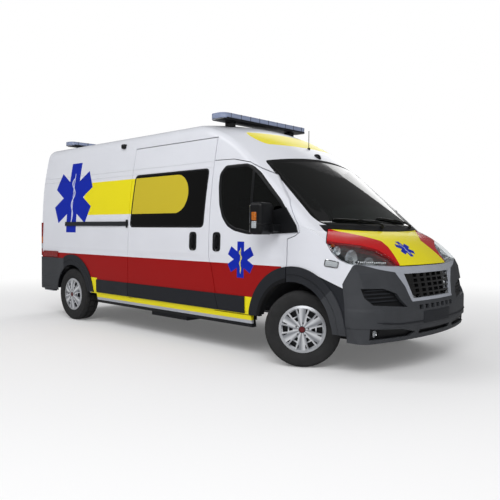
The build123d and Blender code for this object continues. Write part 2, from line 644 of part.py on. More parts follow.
def partition():
    """Wall between cab and load space, with a window."""
    wall = INNER & block((at_x(-1.30), at_x(-1.25)), (-ASIDE, ASIDE), (FLOOR_TOP + SEAT_GAP, ABOVE))
    wall = body_solid(WALL + SEAT_GAP) & wall
    return wall - block((at_x(-1.4), at_x(-1.1)), (-330, 330), (1350, 1800))


def rear_door():
    """Right rear door with its window opening; the left one mirrors it."""
    zone = block((TAIL_X - 50, TAIL_X + WALL - 1), (-REAR_DOOR_HALF, -6), (REAR_DOOR_BOTTOM, REAR_DOOR_TOP))
    return (SHELL & zone) - rear_window_prism(0)


def rear_window_prism(amount):
    """Window outline of the right rear door, grown by an amount, as a prism along the vehicle."""
    face = make_face(Polyline([(-y, z) for y, z in REAR_WINDOW], close=True))
    face = offset(fillet(face.vertices(), 40), amount=amount) if amount else fillet(face.vertices(), 40)
    return Pos(TAIL_X - 100, 0, 0) * extrude(Plane.YZ * face, amount=300)


def rear_glass():
    """Pane of the right rear door."""
    pane = GLASS_SHELL & rear_window_prism(-SEAT_GAP)
    return pane & block((TAIL_X - 10, TAIL_X + 50), (-ASIDE, 0), (1000, ROOF_HEIGHT))


CORNER_FRONT_X = REAR_AXLE_X - 215


def rear_bumper():
    """Rear bumper: corner panels and a step."""
    low, high = 392, 540
    half = REAR_DOOR_HALF + 80
    step = block((BUMPER_TAIL_X, TAIL_X - SEAT_GAP), (-half, half), (low, high))
    step = rounded(step, 30, lambda e: (e @ 0.5).X < BUMPER_TAIL_X + 5 and abs((e @ 0).Z - (e @ 1).Z) > 100)
    width = (-REAR_DOOR_HALF, REAR_DOOR_HALF)
    beam = block((TAIL_X - SEAT_GAP - 20, TAIL_X + 9.7), width, (low, high - 40))
    corner = PROUD_SHELL & block((BEHIND, CORNER_FRONT_X), (-ASIDE, ASIDE), (low - 2, low + 468))
    corner = corner - REAR_ARCH
    half = REAR_DOOR_HALF + 12
    corner = corner - block((TAIL_X - 60, TAIL_X + 10), (-half, half), (300, 1000))
    corner = corner - step
    return [step + beam, *pieces(corner)]


def body_trims():
    """Rear arch trims, rubbing strips on the left side and the sliding door's rail."""
    ring = arch(REAR_AXLE_X, REAR_ARCH_RADIUS + ARCH_TRIM_WIDTH) - REAR_ARCH
    ring = ring & block((CORNER_FRONT_X + 1, at_x(-3.4)), (-ASIDE, ASIDE), (DOOR_BOTTOM + 8, 1000))
    strips = block((at_x(-3.40), at_x(-1.05)), (0, ASIDE), (TRIM_FOOT, TRIM_TOP))
    quarter = block((at_x(-3.40), at_x(-2.687)), (-ASIDE, 0), (TRIM_FOOT, TRIM_TOP))
    strip_zone = (strips + quarter) - arch(REAR_AXLE_X, REAR_ARCH_RADIUS + ARCH_TRIM_WIDTH + 0.3)
    strip_zone = strip_zone - FRONT_DOOR_CUT
    rail = block((at_x(-4.23), at_x(-2.69)), (-ASIDE, 0), (1322, 1378))
    shell = PROUD_SHELL & (ring + strip_zone + rail)
    return [solid for solid in shell.solids() if solid.volume > 2e4]


def tail_lamps():
    """Tail lamps wrapped around the rear corners, and the side markers ahead of them."""
    lamp = PROUD_SHELL & block((TAIL_X - 40, TAIL_X + 75), (-ASIDE, -REAR_DOOR_HALF - 25), (880, 1370))
    marker = PROUD_SHELL & block((TAIL_X + 120, TAIL_X + 546), (-ASIDE, -500), (872, 955))
    return both_sides(lamp) + both_sides(marker)


def side_step():
    """Step box below the sliding door, hung from two crossmembers."""
    box = block((at_x(-2.32), at_x(-1.66)), (-905, -690), (238, SILL_BOTTOM))
    box = rounded(box, 12, lambda e: abs((e @ 0).X - (e @ 1).X) > 300)
    top = FLOOR_TOP - FLOOR_THICKNESS - 60 - SEAT_GAP
    for x in (at_x(-2.25), at_x(-1.70)):
        box = box + block((x - 25, x + 25), (-880, -820), (SILL_BOTTOM - 2, top))
    return box


def mirror():
    """Right outside mirror with its foot on the door."""
    base = [(0.045, 1.262), (-0.30, 1.245), (-0.33, 1.30), (-0.30, 1.47), (-0.115, 1.50), (0.02, 1.33)]
    foot = PROUD_SHELL & grown(base, 0) & RIGHT
    head = block((at_x(-0.36), at_x(-0.20)), (-1254, -1062), (1240, 1545))
    head = rounded(head, 38, lambda e: True)
    arm = block((at_x(-0.30), at_x(-0.16)), (-1120, -1000), (1262, 1340))
    arm = rounded(arm, 18, lambda e: abs((e @ 0).Y - (e @ 1).Y) > 100)
    arm = arm - SKIN
    return (head + arm) + foot


def light_bar(x, z, half_length, depth, height):
    """Low light bar with rounded ends, on two feet: z is the level of its underside."""
    plan = RectangleRounded(depth, 2 * half_length, depth * 0.35)
    bar = Pos(x, 0, z + height / 2) * extrude(plan, amount=height / 2, both=True)
    feet = [block((x - 45, x + 45), (y - 40, y + 40), (z - 148, z + 1)) for y in (-520, 520)]
    for foot in feet:
        bar = bar + (foot - SKIN)
    return bar - SKIN


# Light bars: place along, foot level, half length, depth, height
LIGHT_BARS = [(at_x(-1.362), ROOF_HEIGHT + 6, 745, 240, 62), (TAIL_X + 346, ROOF_HEIGHT + 6, 745, 200, 55)]


def roof_fittings():
    """Roof marker lamps, vent, camera pod and aerial."""
    lamp_x = at_x(-2.957)
    lamps = Pos(lamp_x, 12 - ROOF_CORNER[0] - 24, ROOF_HEIGHT - 177) * Box(70, 110, 60)
    lamps = (rounded(lamps, 18, lambda e: True) - SKIN).solids()
    lamp = max(lamps, key=lambda s: s.volume)
    vent = Pos(at_x(-3.63), 0, ROOF_HEIGHT - 22) * Cylinder(34, 260) - SKIN
    vent = max(vent.solids(), key=lambda s: s.center().Z)
    pod = Pos(at_x(-0.515), 0, 2085) * Sphere(48) - SKIN
    pod = max(pod.solids(), key=lambda s: s.center().Z)
    mast = (Pos(at_x(-0.63), 0, 2290) * Cylinder(4, 220)) + (Pos(at_x(-0.63), 0, 2180) * Cylinder(16, 60))
    mast = max((mast - SKIN).solids(), key=lambda s: s.center().Z)
    return both_sides(lamp) + [vent, pod, mast]


SEAT_BACK_LEAN = 10


def seat_bases():
    """Seat boxes on the cab floor."""
    z = FLOOR_TOP + SEAT_GAP
    return [block((at_x(-1.05), at_x(-0.62)), (y - 200, y + 200), (z, z + 250)) for y in (-440, 440)]


def seats():
    """Cushions, backs and head rests as plain closed solids."""
    result = []
    low = FLOOR_TOP + 250.6
    for y in (-440, 440):
        cushion = block((at_x(-1.08), at_x(-0.56)), (y - 245, y + 245), (low, low + 130))
        back = Pos(at_x(-1.115), y, low + 420) * Rot(0, -SEAT_BACK_LEAN, 0) * Box(110, 470, 640)
        back = back - block((at_x(-1.6), at_x(-0.3)), (y - 300, y + 300), (low - 100, low + 130.3))
        back = back - block((at_x(-1.6), at_x(-1.249)), (y - 300, y + 300), (low - 100, 2600))
        head = Pos(at_x(-1.165), y, low + 780) * Box(90, 250, 150)
        result += pieces(cushion) + pieces(back + head)
    return result


DASHBOARD = [(-0.25, 0.90), (-0.29, 1.04), (-0.22, 1.17), (-0.05, 1.23), (0.1007, 1.23),
             (0.1007, 0.84), (-0.10, 0.84)]


def dashboard():
    """Dashboard across the cab."""
    return across(table(DASHBOARD), -860, 860) & body_solid(WALL + 20)


def steering_wheel():
    """Steering wheel with hub, spokes and column, on the left."""
    lean = 25
    ring = Torus(185, 14)
    hub = Cylinder(55, 40)
    spokes = Box(360, 40, 16) + Pos(-90, 0, 0) * Box(180, 34, 16)
    column = Pos(0, 0, -170) * Cylinder(24, 320)
    wheel = ring + hub + spokes + column
    placed = Pos(at_x(-0.44), 440, 1125) * Rot(0, -90 + lean, 0) * wheel
    return max((placed - dashboard()).solids(), key=lambda s: s.volume)


def powertrain():
    """Engine as a plain block, with the exhaust under the floor."""
    engine = block((at_x(0.17), at_x(0.58)), (-380, 380), (405.3, 930))
    silencer = Pos(at_x(-2.1), 0, 320) * Rot(0, 90, 0) * Cylinder(85, 620)
    hanger = block((at_x(-2.14), at_x(-2.06)), (-60, 60), (330, FLOOR_TOP - FLOOR_THICKNESS - SEAT_GAP))
    pipe = Pos(at_x(-0.78), 0, 320) * Rot(0, 90, 0) * Cylinder(30, 2050)
    tail = Pos(at_x(-3.1), 0, 320) * Rot(0, 90, 0) * Cylinder(26, 1400)
    mount = block((at_x(0.20), at_x(0.55)), (-399.7, 399.7), (420, 480))
    drop = block((at_x(0.17), at_x(0.245)), (-45, 45), (290, 410))
    return [(engine + mount + drop + pipe) + silencer + hanger + tail]


def fuel_tank():
    """Fuel tank under the floor on the left."""
    top = FLOOR_TOP - FLOOR_THICKNESS - SEAT_GAP
    tank = block((at_x(-1.60), at_x(-0.85)), (490, 860), (270, top))
    tank = rounded(tank, 40, lambda e: abs((e @ 0).X - (e @ 1).X) > 500 and (e @ 0.5).Z < 300)
    return tank - block((at_x(-1.75), at_x(-1.65)), (0, 1000), (0, 900))


ARM_Z = 224
POST_LOW = 245
POST_HIGH = 470


def front_suspension():
    """Subframe, lower arms, struts and the brackets that carry the steered hubs."""
    frame = block((at_x(-0.12), at_x(0.16)), (-330, 330), (190, 260))
    legs = [block((at_x(-0.10), at_x(0.14)), (y - 35, y + 35), (250, 404.7)) for y in (-440, 440)]
    tie = block((at_x(-0.10), at_x(0.14)), (-475, 475), (250, 285))
    body = frame + tie + legs[0] + legs[1]
    x, upper_z = FRONT_AXLE_X, POST_HIGH + 22
    for side in (-1, 1):
        pin_y, strut_y = side * KINGPIN_Y, side * 655
        for root_x in (at_x(-0.09), at_x(0.13)):
            body = body + rod((root_x, side * 320, 240), (x, pin_y, ARM_Z), 17)
        body = body + Pos(x, pin_y, ARM_Z) * Cylinder(24, 2 * (POST_LOW - SEAT_GAP - ARM_Z))
        body = body + rod((x, strut_y, 232), (x, strut_y, 802.8), 28)
        body = body + rod((x, strut_y, upper_z), (x, pin_y, upper_z), 15)
        body = body + Pos(x, pin_y, POST_HIGH + SEAT_GAP + 14) * Cylinder(22, 28)
    return body


def rod(start, end, radius):
    """Round bar between two points."""
    path = Line(start, end)
    section = Plane(origin=start, z_dir=path % 0) * Circle(radius)
    return extrude(section, amount=path.length, dir=tuple(path % 0))


def steered(shape, side):
    """A straight-ahead piece of one side, turned about its kingpin to the lock it stands at."""
    axis = Axis((FRONT_AXLE_X, side * KINGPIN_Y, 0), (0, 0, 1))
    return shape.rotate(axis, STEER_ANGLE)


HUB_FACE = 24


def knuckle(side):
    """Steering knuckle: kingpin post with the hub carrier."""
    y = side * KINGPIN_Y
    post = Pos(FRONT_AXLE_X, y, (POST_LOW + POST_HIGH) / 2) * Cylinder(18, POST_HIGH - POST_LOW)
    carrier = Rot(90, 0, 0) * Cylinder(52, 2 * (HUB_FACE - 2 - SEAT_GAP))
    carrier = Pos(FRONT_AXLE_X, y + side * 2, AXLE_Z) * carrier
    return steered(post + carrier, side)


def tyre():
    """Tyre about the Y axis, its outer side towards -Y."""
    half = TYRE_WIDTH / 2
    outer = [(RIM_RADIUS + SEAT_GAP, -78), (RIM_RADIUS + 28, -96), (RIM_RADIUS + 87, -half),
             (TYRE_RADIUS - 22, 12 - half), (TYRE_RADIUS, -86)]
    inner = [(radius, -y) for radius, y in outer[::-1]]
    return turned_ring(outer + inner)


def turned_ring(outline):
    """Ring about the Y axis over an outline of (radius, y)."""
    face = make_face(Polyline([(r, y, 0) for r, y in outline], close=True))
    return revolve(face, axis=Axis.Y, revolution_arc=360)


SPOKES = 6
COVER_RADIUS = 222


def cover_opening(points):
    """Prism through the wheel cover over an outline of (x, z)."""
    face = make_face(Polyline([(x, -70, z) for x, z in points], close=True))
    return extrude(face, amount=70, dir=(0, -1, 0))


def rim(hub_inner):
    """Steel wheel with its domed cover: fan spokes with barred windows between, outer side towards -Y."""
    barrel = turned_ring([(RIM_RADIUS, -78), (RIM_RADIUS, 78), (RIM_RADIUS - 14, 78), (RIM_RADIUS - 14, -78)])
    disc = turned_ring([(0, -45), (RIM_RADIUS - 10, -45), (RIM_RADIUS - 10, -37), (0, -37)])
    hub = turned_ring([(0, -45), (75, -45), (75, hub_inner), (0, hub_inner)])
    edge = RIM_RADIUS - 16
    dome = [(0, -118), (70, -116), (150, -112), (200, -106), (COVER_RADIUS, -99), (COVER_RADIUS, -92),
            (RIM_RADIUS, -81), (edge, -81), (edge, -92), (150, -102), (70, -106), (0, -108)]
    cover = turned_ring(dome)
    lip = turned_ring([(RIM_RADIUS - 18, -86), (RIM_RADIUS, -86), (RIM_RADIUS, -76), (RIM_RADIUS - 18, -76)])
    for index in range(SPOKES):
        turn = Rot(0, index * 360 / SPOKES, 0)
        cover = cover - turn * cover_opening([(134, -24), (196, -35), (200, 0), (196, 35), (134, 24)])
        cover = cover - turn * cover_opening([(86, -8), (122, -19), (122, 19), (86, 8)])
        for turned in (17.5, -17.5):
            window = cover_opening([(148, -3), (198, -10), (198, 10), (148, 3)])
            cover = cover - turn * Rot(0, turned, 0) * window
    core = turned_ring([(0, -45), (40, -45), (40, -112), (0, -112)])
    return barrel + disc + hub + cover + lip + core


def placed_wheel(shape, x, side, track):
    """A wheel piece set on its axle, turned for its side."""
    half = track / 2
    placed = shape if side < 0 else shape.mirror(Plane.XZ)
    placed = Pos(x, side * half, AXLE_Z) * placed
    return placed


def rear_axle():
    """Rear beam with its leaf springs and shackles."""
    end = REAR_TRACK / 2 - 20
    body = Pos(REAR_AXLE_X, 0, AXLE_Z) * Rot(90, 0, 0) * Cylinder(38, 2 * (end - SEAT_GAP))
    x, under = REAR_AXLE_X, FLOOR_TOP - FLOOR_THICKNESS - SEAT_GAP
    leaf = [(x - 620, under - 40), (x, 300), (x + 620, under - 40),
            (x + 620, under - 58), (x, 280), (x - 620, under - 58)]
    for y in (-600, 600):
        body = body + across(leaf, y - 32, y + 32)
        body = body + block((x - 60, x + 60), (y - 45, y + 45), (290, 340))
        for end_x in (x - 600, x + 600):
            body = body + block((end_x - 25, end_x + 25), (y - 32, y + 32), (under - 60, under))
    return body


def write(name, shape):
    """One STEP file for a node, from a shape or a list of solids."""
    solids = pieces(shape)
    compound = solids[0] if len(solids) == 1 else Compound(children=solids)
    compound.label = name
    export_step(compound, f"parts/{name}.step")


def main():
    """Build every node and write it."""
    os.makedirs("parts", exist_ok=True)
    quarter, left_side = side_panels()
    wing_panels, wing_trims = wings()
    nodes = {
        "roof": roof(), "side_panel_right": quarter, "side_panel_left": left_side,
        "sliding_door": sliding_door(), "side_windows": side_glass(), "screen_pillars": pillars(),
        "windscreen": windscreen(), "cowl": cowl(), "bonnet": bonnet(), "front_wings": wing_panels,
        "headlamps": headlamps(), "front_bumper": front_bumper(), "bumper_liners": bumper_backs(),
        "grille_surround": grille_surround(), "grille": grille(), "floor": floor(),
        "rear_wheel_houses": rear_wheel_houses(), "front_bay": front_bay(), "partition": partition(),
        "rear_bumper": rear_bumper(), "body_trims": body_trims() + wing_trims,
        "tail_lamps": tail_lamps(), "side_step": side_step(), "roof_fittings": roof_fittings(),
        "light_bars": [light_bar(*row) for row in LIGHT_BARS], "seat_bases": seat_bases(),
        "seats": seats(), "dashboard": dashboard(), "steering_wheel": steering_wheel(),
        "powertrain": powertrain(), "fuel_tank": fuel_tank(),
        "front_suspension": front_suspension(), "rear_axle": rear_axle(),
    }
    for name, shape in nodes.items():
        write(name, shape)
    right_pieces = {
        "front_door": front_door(), "front_window": front_door_glass(), "mirror": mirror(),
        "rear_door": rear_door(), "rear_window": rear_glass(),
    }
    tyre_shape = tyre()
    front_rim = rim(FRONT_TRACK / 2 - KINGPIN_Y - HUB_FACE)
    rear_rim = rim(20)
    for side, side_name in ((-1, "right"), (1, "left")):
        for name, shape in right_pieces.items():
            write(f"{name}_{side_name}", shape if side < 0 else shape.mirror(Plane.XZ))
        write(f"knuckle_{side_name}", knuckle(side))
        for name, shape in (("tyre", tyre_shape), ("rim", front_rim)):
            placed = placed_wheel(shape, FRONT_AXLE_X, side, FRONT_TRACK)
            write(f"{name}_front_{side_name}", steered(placed, side))
        for name, shape in (("tyre", tyre_shape), ("rim", rear_rim)):
            write(f"{name}_rear_{side_name}", placed_wheel(shape, REAR_AXLE_X, side, REAR_TRACK))


main()
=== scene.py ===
# %% [markdown]
# # An ambulance built on a long, high-roof van
# The solids come from CAD in metres, X forward and Z up, with the origin on the ground under the
# middle of the vehicle. This lesson dresses them: paint with its stripes, glass, lamps, rubber and
# plastic, and the small pieces that a maker would fit last.

# %% Load the frame
import math

import bmesh
import bpy
from mathutils import Matrix, Vector
from mathutils.bvhtree import BVHTree


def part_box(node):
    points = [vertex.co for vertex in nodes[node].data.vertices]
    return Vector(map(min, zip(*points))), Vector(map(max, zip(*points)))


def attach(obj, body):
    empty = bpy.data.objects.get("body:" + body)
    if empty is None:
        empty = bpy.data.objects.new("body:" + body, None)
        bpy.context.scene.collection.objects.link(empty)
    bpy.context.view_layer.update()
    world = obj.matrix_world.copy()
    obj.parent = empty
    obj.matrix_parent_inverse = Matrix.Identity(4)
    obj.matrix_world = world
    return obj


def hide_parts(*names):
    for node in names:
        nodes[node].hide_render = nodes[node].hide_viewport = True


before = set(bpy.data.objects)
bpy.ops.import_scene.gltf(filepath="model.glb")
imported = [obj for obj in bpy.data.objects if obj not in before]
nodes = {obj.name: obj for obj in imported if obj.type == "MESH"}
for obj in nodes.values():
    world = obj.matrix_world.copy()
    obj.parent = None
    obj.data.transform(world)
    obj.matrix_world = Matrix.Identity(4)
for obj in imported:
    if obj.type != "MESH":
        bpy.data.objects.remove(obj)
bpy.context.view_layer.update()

# %% [markdown]
# Places along the vehicle are set out from the front axle, as a body builder does, so the same
# numbers serve the stripes and the fitted pieces.

# %% Places on the vehicle
AXLE_X = 2.051
REAR_AXLE_X = -1.984
AXLE_Z = 0.36
SIDES = ((-1, "right"), (1, "left"))
STEER_ANGLE = math.radians(33)
KINGPIN_Y = 0.845


def at_x(x):
    """Length coordinate of a place measured from the front axle."""
    return AXLE_X + x


# %% [markdown]
# Colours are read off a colour chart as sRGB, and Blender mixes light in linear values, so one
# function turns the first into the second. Another adds a node with its settings and links, which
# keeps every material a short list of steps. It could be one function for each kind of node, but a
# single one is learnt once and serves them all.

# %% Colour and node helpers
def colour(code):
    """Linear RGBA from an sRGB hex code."""
    parts = [int(code[i:i + 2], 16) / 255 for i in (1, 3, 5)]
    return (*[c / 12.92 if c <= 0.04045 else ((c + 0.055) / 1.055) ** 2.4 for c in parts], 1.0)


def darker(tint, share):
    """The same colour with that share of its light."""
    return [part * share for part in tint[:3]] + [1.0]


def add(tree, kind, *values, **settings):
    """A new node. Its kind may end in an operation, as in "Math ADD".

    The values go to its sockets in their order, or one dict names or numbers the sockets. A value
    is a number, a colour, a socket, or a node, which stands for its first live output. The two
    colours of a Mix are its sockets 6 and 7; a Map Range takes 1 to 2 and gives 3 to 4.
    """
    kind, _, operation = kind.partition(" ")
    node = tree.nodes.new("ShaderNode" + kind)
    if operation:
        node.operation = operation
    for key, value in settings.items():
        setattr(node, key, value)
    named = values[0] if values and isinstance(values[0], dict) else dict(enumerate(values))
    for key, value in named.items():
        if isinstance(value, bpy.types.Node):
            value = next(output for output in value.outputs if output.enabled)
        if isinstance(value, bpy.types.NodeSocket):
            tree.links.new(value, node.inputs[key])
        else:
            node.inputs[key].default_value = value
    return node


def new_material(name):
    """Empty node material and its tree."""
    material = bpy.data.materials.new(name)
    material.use_nodes = True
    material.node_tree.nodes.clear()
    return material, material.node_tree


def grain(tree, width, detail=2.0):
    """Noise on the object, from the width of its grains in millimetres."""
    spot = add(tree, "TexCoord").outputs["Object"]
    return add(tree, "TexNoise", {"Vector": spot, "Scale": 1000 / width, "Detail": detail})


# %% [markdown]
# A studio is a pale floor and soft light. A backdrop sheet could be modelled, but a plane that
# fades to white is simpler and keeps the shadow. The background looks white to the camera and
# through glass, and dim in mirrors and gloss, so that dark panes and red foil keep their depth.

# %% Floor and world
WORLD_LIGHT = 0.46
MIRRORED_WHITE = 0.16
WHITE_LIGHT = (1, 1, 1, 1)
FLOOR_FADE = {1: 3.4, 2: 9.5, 3: 0.12, 4: 1.0}


def make_floor():
    """Pale floor that keeps the shadow near the vehicle and fades to white further out."""
    bpy.ops.mesh.primitive_plane_add(size=120, location=(0, 0, 0))
    floor = bpy.context.object
    floor.name = "studio_floor"
    material, tree = new_material("studio_floor")
    spots = add(tree, "Math MULTIPLY", grain(tree, 1667), 0.05)
    tone = add(tree, "Mix", {0: spots, 6: colour("#F4F4F5"), 7: colour("#ECECEE")}, data_type="RGBA")
    matte = add(tree, "BsdfDiffuse", {"Color": tone})
    light = add(tree, "LightPath")
    mirrored = light.outputs["Is Glossy Ray"]
    dim = add(tree, "Math MULTIPLY_ADD", mirrored, MIRRORED_WHITE - 1.0, 1.0)
    white = add(tree, "Emission", {"Color": WHITE_LIGHT, "Strength": dim})
    far = add(tree, "VectorMath LENGTH", add(tree, "TexCoord").outputs["Object"])
    fade = add(tree, "MapRange", {0: far, **FLOOR_FADE}, interpolation_type="SMOOTHSTEP")
    share = add(tree, "Math MAXIMUM", add(tree, "Math MULTIPLY", light.outputs["Is Camera Ray"], fade),
                add(tree, "Math MULTIPLY", mirrored, 0.8))
    add(tree, "OutputMaterial", add(tree, "MixShader", share, matte, white))
    floor.data.materials.append(material)


def make_world():
    """Plain world: white where it is seen, dim in mirrors and soft as a light."""
    world = bpy.data.worlds.new("studio")
    bpy.context.scene.world = world
    world.use_nodes = True
    tree = world.node_tree
    tree.nodes.clear()
    light = add(tree, "LightPath")
    seen = add(tree, "Math MAXIMUM", light.outputs["Is Camera Ray"], light.outputs["Is Transmission Ray"])
    unseen = add(tree, "Math SUBTRACT", 1.0, seen)
    mirrored = add(tree, "Math MULTIPLY", light.outputs["Is Glossy Ray"], unseen)
    strength = add(tree, "Math MULTIPLY_ADD", seen, 1.0 - WORLD_LIGHT, WORLD_LIGHT)
    strength = add(tree, "Math MULTIPLY_ADD", mirrored, MIRRORED_WHITE - WORLD_LIGHT, strength)
    add(tree, "OutputWorld", add(tree, "Background", WHITE_LIGHT, strength))


make_floor()
make_world()
print("world light", WORLD_LIGHT, "mirrored white", MIRRORED_WHITE)

# %% [markdown]
# Three large lamps stand in for the open sky: the key in front on the right shapes the nose and
# draws the shadow, and two weaker ones keep the long side and the far edge from going dull. Large
# lamps give the soft shadow edge of the photograph, which a sun lamp would draw too sharp.

# %% Lamps
LAMPS = (
    ("key", (6.5, -7.5, 8.0), 6.0, 620),
    ("side", (-5.0, -7.0, 10.0), 5.0, 300),
    ("back", (-4.0, 9.0, 7.0), 7.0, 300),
)
AIMED_AT = Vector((0, 0, 1.0))
for name, spot, size, power in LAMPS:
    lamp = bpy.data.lights.new(name, "AREA")
    lamp.size = size
    lamp.energy = power
    holder = bpy.data.objects.new(name, lamp)
    bpy.context.scene.collection.objects.link(holder)
    holder.location = spot
    holder.rotation_euler = (AIMED_AT - Vector(spot)).to_track_quat("-Z", "Y").to_euler()
print("lamps", [(name, power) for name, _, _, power in LAMPS])

# %% [markdown]
# The camera stands where the photographer stood. It could be moved by hand until the picture
# fits; here its place was solved from the wheel centres, the body's known length and the roof
# line, which is exact and can be repeated. It looks a little down from chest height.

# %% Camera
CAMERA_PLACE = (5.5743, -5.2790, 1.2797)
CAMERA_AZIMUTH = 0.763895
CAMERA_DOWN = 0.033372
CAMERA_ROLL = 0.007825
CAMERA_LENS = 36 * 590.740 / 500


def make_camera():
    """Camera at the photograph's place and angle."""
    data = bpy.data.cameras.new("camera")
    data.sensor_width = 36
    data.lens = CAMERA_LENS
    data.clip_end = 200
    camera = bpy.data.objects.new("camera", data)
    bpy.context.scene.collection.objects.link(camera)
    az, down, roll = CAMERA_AZIMUTH, CAMERA_DOWN, CAMERA_ROLL
    ahead = Vector((-math.sin(az) * math.cos(down), math.cos(az) * math.cos(down), -math.sin(down)))
    right = ahead.cross(Vector((0, 0, 1))).normalized()
    up = right.cross(ahead)
    x_axis = right * math.cos(roll) + up * math.sin(roll)
    y_axis = up * math.cos(roll) - right * math.sin(roll)
    turn = Matrix((x_axis, y_axis, -ahead)).transposed().to_4x4()
    camera.matrix_world = Matrix.Translation(CAMERA_PLACE) @ turn
    bpy.context.scene.camera = camera
    print("camera", CAMERA_PLACE, "lens", round(CAMERA_LENS, 1))


make_camera()
bpy.context.scene.view_settings.view_transform = "Standard"

# %% [markdown]
# The stripes are cut foil, so each is an outline on the body. A painted picture could carry them,
# but here the paint works them out from the place on the body: a band lies between two heights, a
# disc within a distance, and a star is three crossed bars. Their edges stay sharp at any distance.

# %% Masks by place
def place(tree):
    """X, Y and Z of the point, in metres from the origin, and the distance from the middle line."""
    spot = add(tree, "TexCoord").outputs["Object"]
    parts = add(tree, "SeparateXYZ", spot).outputs
    return parts[0], parts[1], parts[2], add(tree, "Math ABSOLUTE", parts[1])


def between(tree, value, low, high):
    """1 where the value lies between the limits."""
    over = add(tree, "Math GREATER_THAN", value, low)
    return add(tree, "Math MULTIPLY", over, add(tree, "Math LESS_THAN", value, high))


def all_of(tree, *masks):
    """1 where every mask is 1."""
    result = masks[0]
    for mask in masks[1:]:
        result = add(tree, "Math MULTIPLY", result, mask)
    return result


def any_of(tree, *masks):
    """1 where a mask is 1."""
    result = masks[0]
    for mask in masks[1:]:
        result = add(tree, "Math MAXIMUM", result, mask)
    return result


def distance(tree, u, v, centre_u, centre_v):
    """Distance from a centre in the plane of u and v."""
    du = add(tree, "Math SUBTRACT", u, centre_u)
    dv = add(tree, "Math SUBTRACT", v, centre_v)
    squares = add(tree, "Math MULTIPLY", du, du), add(tree, "Math MULTIPLY", dv, dv)
    return add(tree, "Math SQRT", add(tree, "Math ADD", *squares))


def star(tree, u, v, centre_u, centre_v, reach, width):
    """Three bars crossed at sixty degrees: half length and width in metres."""
    du = add(tree, "Math SUBTRACT", u, centre_u)
    dv = add(tree, "Math SUBTRACT", v, centre_v)
    bars = []
    for degrees in (0, 60, 120):
        s, c = math.sin(math.radians(degrees)), math.cos(math.radians(degrees))
        lengthwise = add(tree, "Math ADD", add(tree, "Math MULTIPLY", du, s),
                         add(tree, "Math MULTIPLY", dv, c))
        crosswise = add(tree, "Math SUBTRACT", add(tree, "Math MULTIPLY", du, c),
                        add(tree, "Math MULTIPLY", dv, s))
        bars.append(all_of(tree, between(tree, lengthwise, -reach, reach),
                           between(tree, crosswise, -width / 2, width / 2)))
    return any_of(tree, *bars)


# %% [markdown]
# The long side carries a red band from arch to arch, a yellow line below the trims and a banner
# with a round end. Their limits were measured on the photograph and turned into metres.

# %% Stripes on the side
WHITE, RED, YELLOW, BLUE = colour("#DCDEE5"), colour("#960606"), colour("#E8DA12"), colour("#0022A4")
BONNET_RED = colour("#BC0C12")
DARK_TRIM = colour("#222429")
COATED_EDGE = colour("#121316")
BANNER = (at_x(-3.78), at_x(-1.79), 1.47, 1.91)
BAND = (0.61, 0.937)
SIDE_SKIN = 0.80
FRONT_OPENING, REAR_OPENING = 0.478, 0.452
FRONT_TRIM_RADIUS, REAR_TRIM_RADIUS = 0.585, 0.55


def banner_mask(tree, x, z):
    """Long banner from the star to its rounded front end."""
    low_x, high_x, low_z, high_z = BANNER
    middle = (low_z + high_z) / 2
    half = (high_z - low_z) / 2
    bar = all_of(tree, between(tree, x, low_x, high_x), between(tree, z, low_z, high_z))
    end = add(tree, "Math LESS_THAN", distance(tree, x, z, high_x, middle), half)
    return any_of(tree, bar, end)


def side_band(tree, x, y, z, off):
    """Red band along the side, stopping at the arch trims."""
    from_front = distance(tree, x, z, AXLE_X, AXLE_Z)
    from_rear = distance(tree, x, z, REAR_AXLE_X, AXLE_Z)
    clear = all_of(tree, add(tree, "Math GREATER_THAN", from_front, FRONT_TRIM_RADIUS),
                   add(tree, "Math GREATER_THAN", from_rear, REAR_TRIM_RADIUS))
    return all_of(tree, between(tree, z, *BAND), clear, add(tree, "Math LESS_THAN", x, at_x(-0.15)))


def lower_band(tree, x, y, z, off):
    """Yellow band under the trims and up to their ends."""
    low = all_of(tree, add(tree, "Math LESS_THAN", z, 0.437),
                 add(tree, "Math GREATER_THAN", x, at_x(-3.52)),
                 add(tree, "Math LESS_THAN", x, at_x(-0.2)))
    front = all_of(tree, between(tree, x, at_x(-0.645), at_x(-0.3)),
                   add(tree, "Math LESS_THAN", z, BAND[0]))
    rear = all_of(tree, between(tree, x, at_x(-3.56), at_x(-3.395)),
                  add(tree, "Math LESS_THAN", z, BAND[0] + 0.02))
    return any_of(tree, low, front, rear)


def side_banner(tree, x, y, z, off):
    """Yellow banner on the side."""
    return all_of(tree, banner_mask(tree, x, z), add(tree, "Math GREATER_THAN", off, SIDE_SKIN))


# %% [markdown]
# A large blue star stands at the rear of each side and a small one on each cab door. Each holds a
# staff with a line winding up it, a rod and a widening sine wave, laid over the star.

# %% Stars and staffs
REAR_STAR, DOOR_STAR = (at_x(-4.08), 1.72), (at_x(-0.70), 0.98)
REAR_STAFF, DOOR_STAFF = (at_x(-4.08), 1.70), (at_x(-0.70), 0.97)


def big_star(tree, x, y, z, off):
    """Blue star at the rear of the side."""
    return all_of(tree, star(tree, x, z, *REAR_STAR, 0.49, 0.265),
                  add(tree, "Math GREATER_THAN", off, SIDE_SKIN))


def door_star(tree, x, y, z, off):
    """Blue star on the cab door."""
    return all_of(tree, star(tree, x, z, *DOOR_STAR, 0.185, 0.098),
                  add(tree, "Math GREATER_THAN", off, SIDE_SKIN))


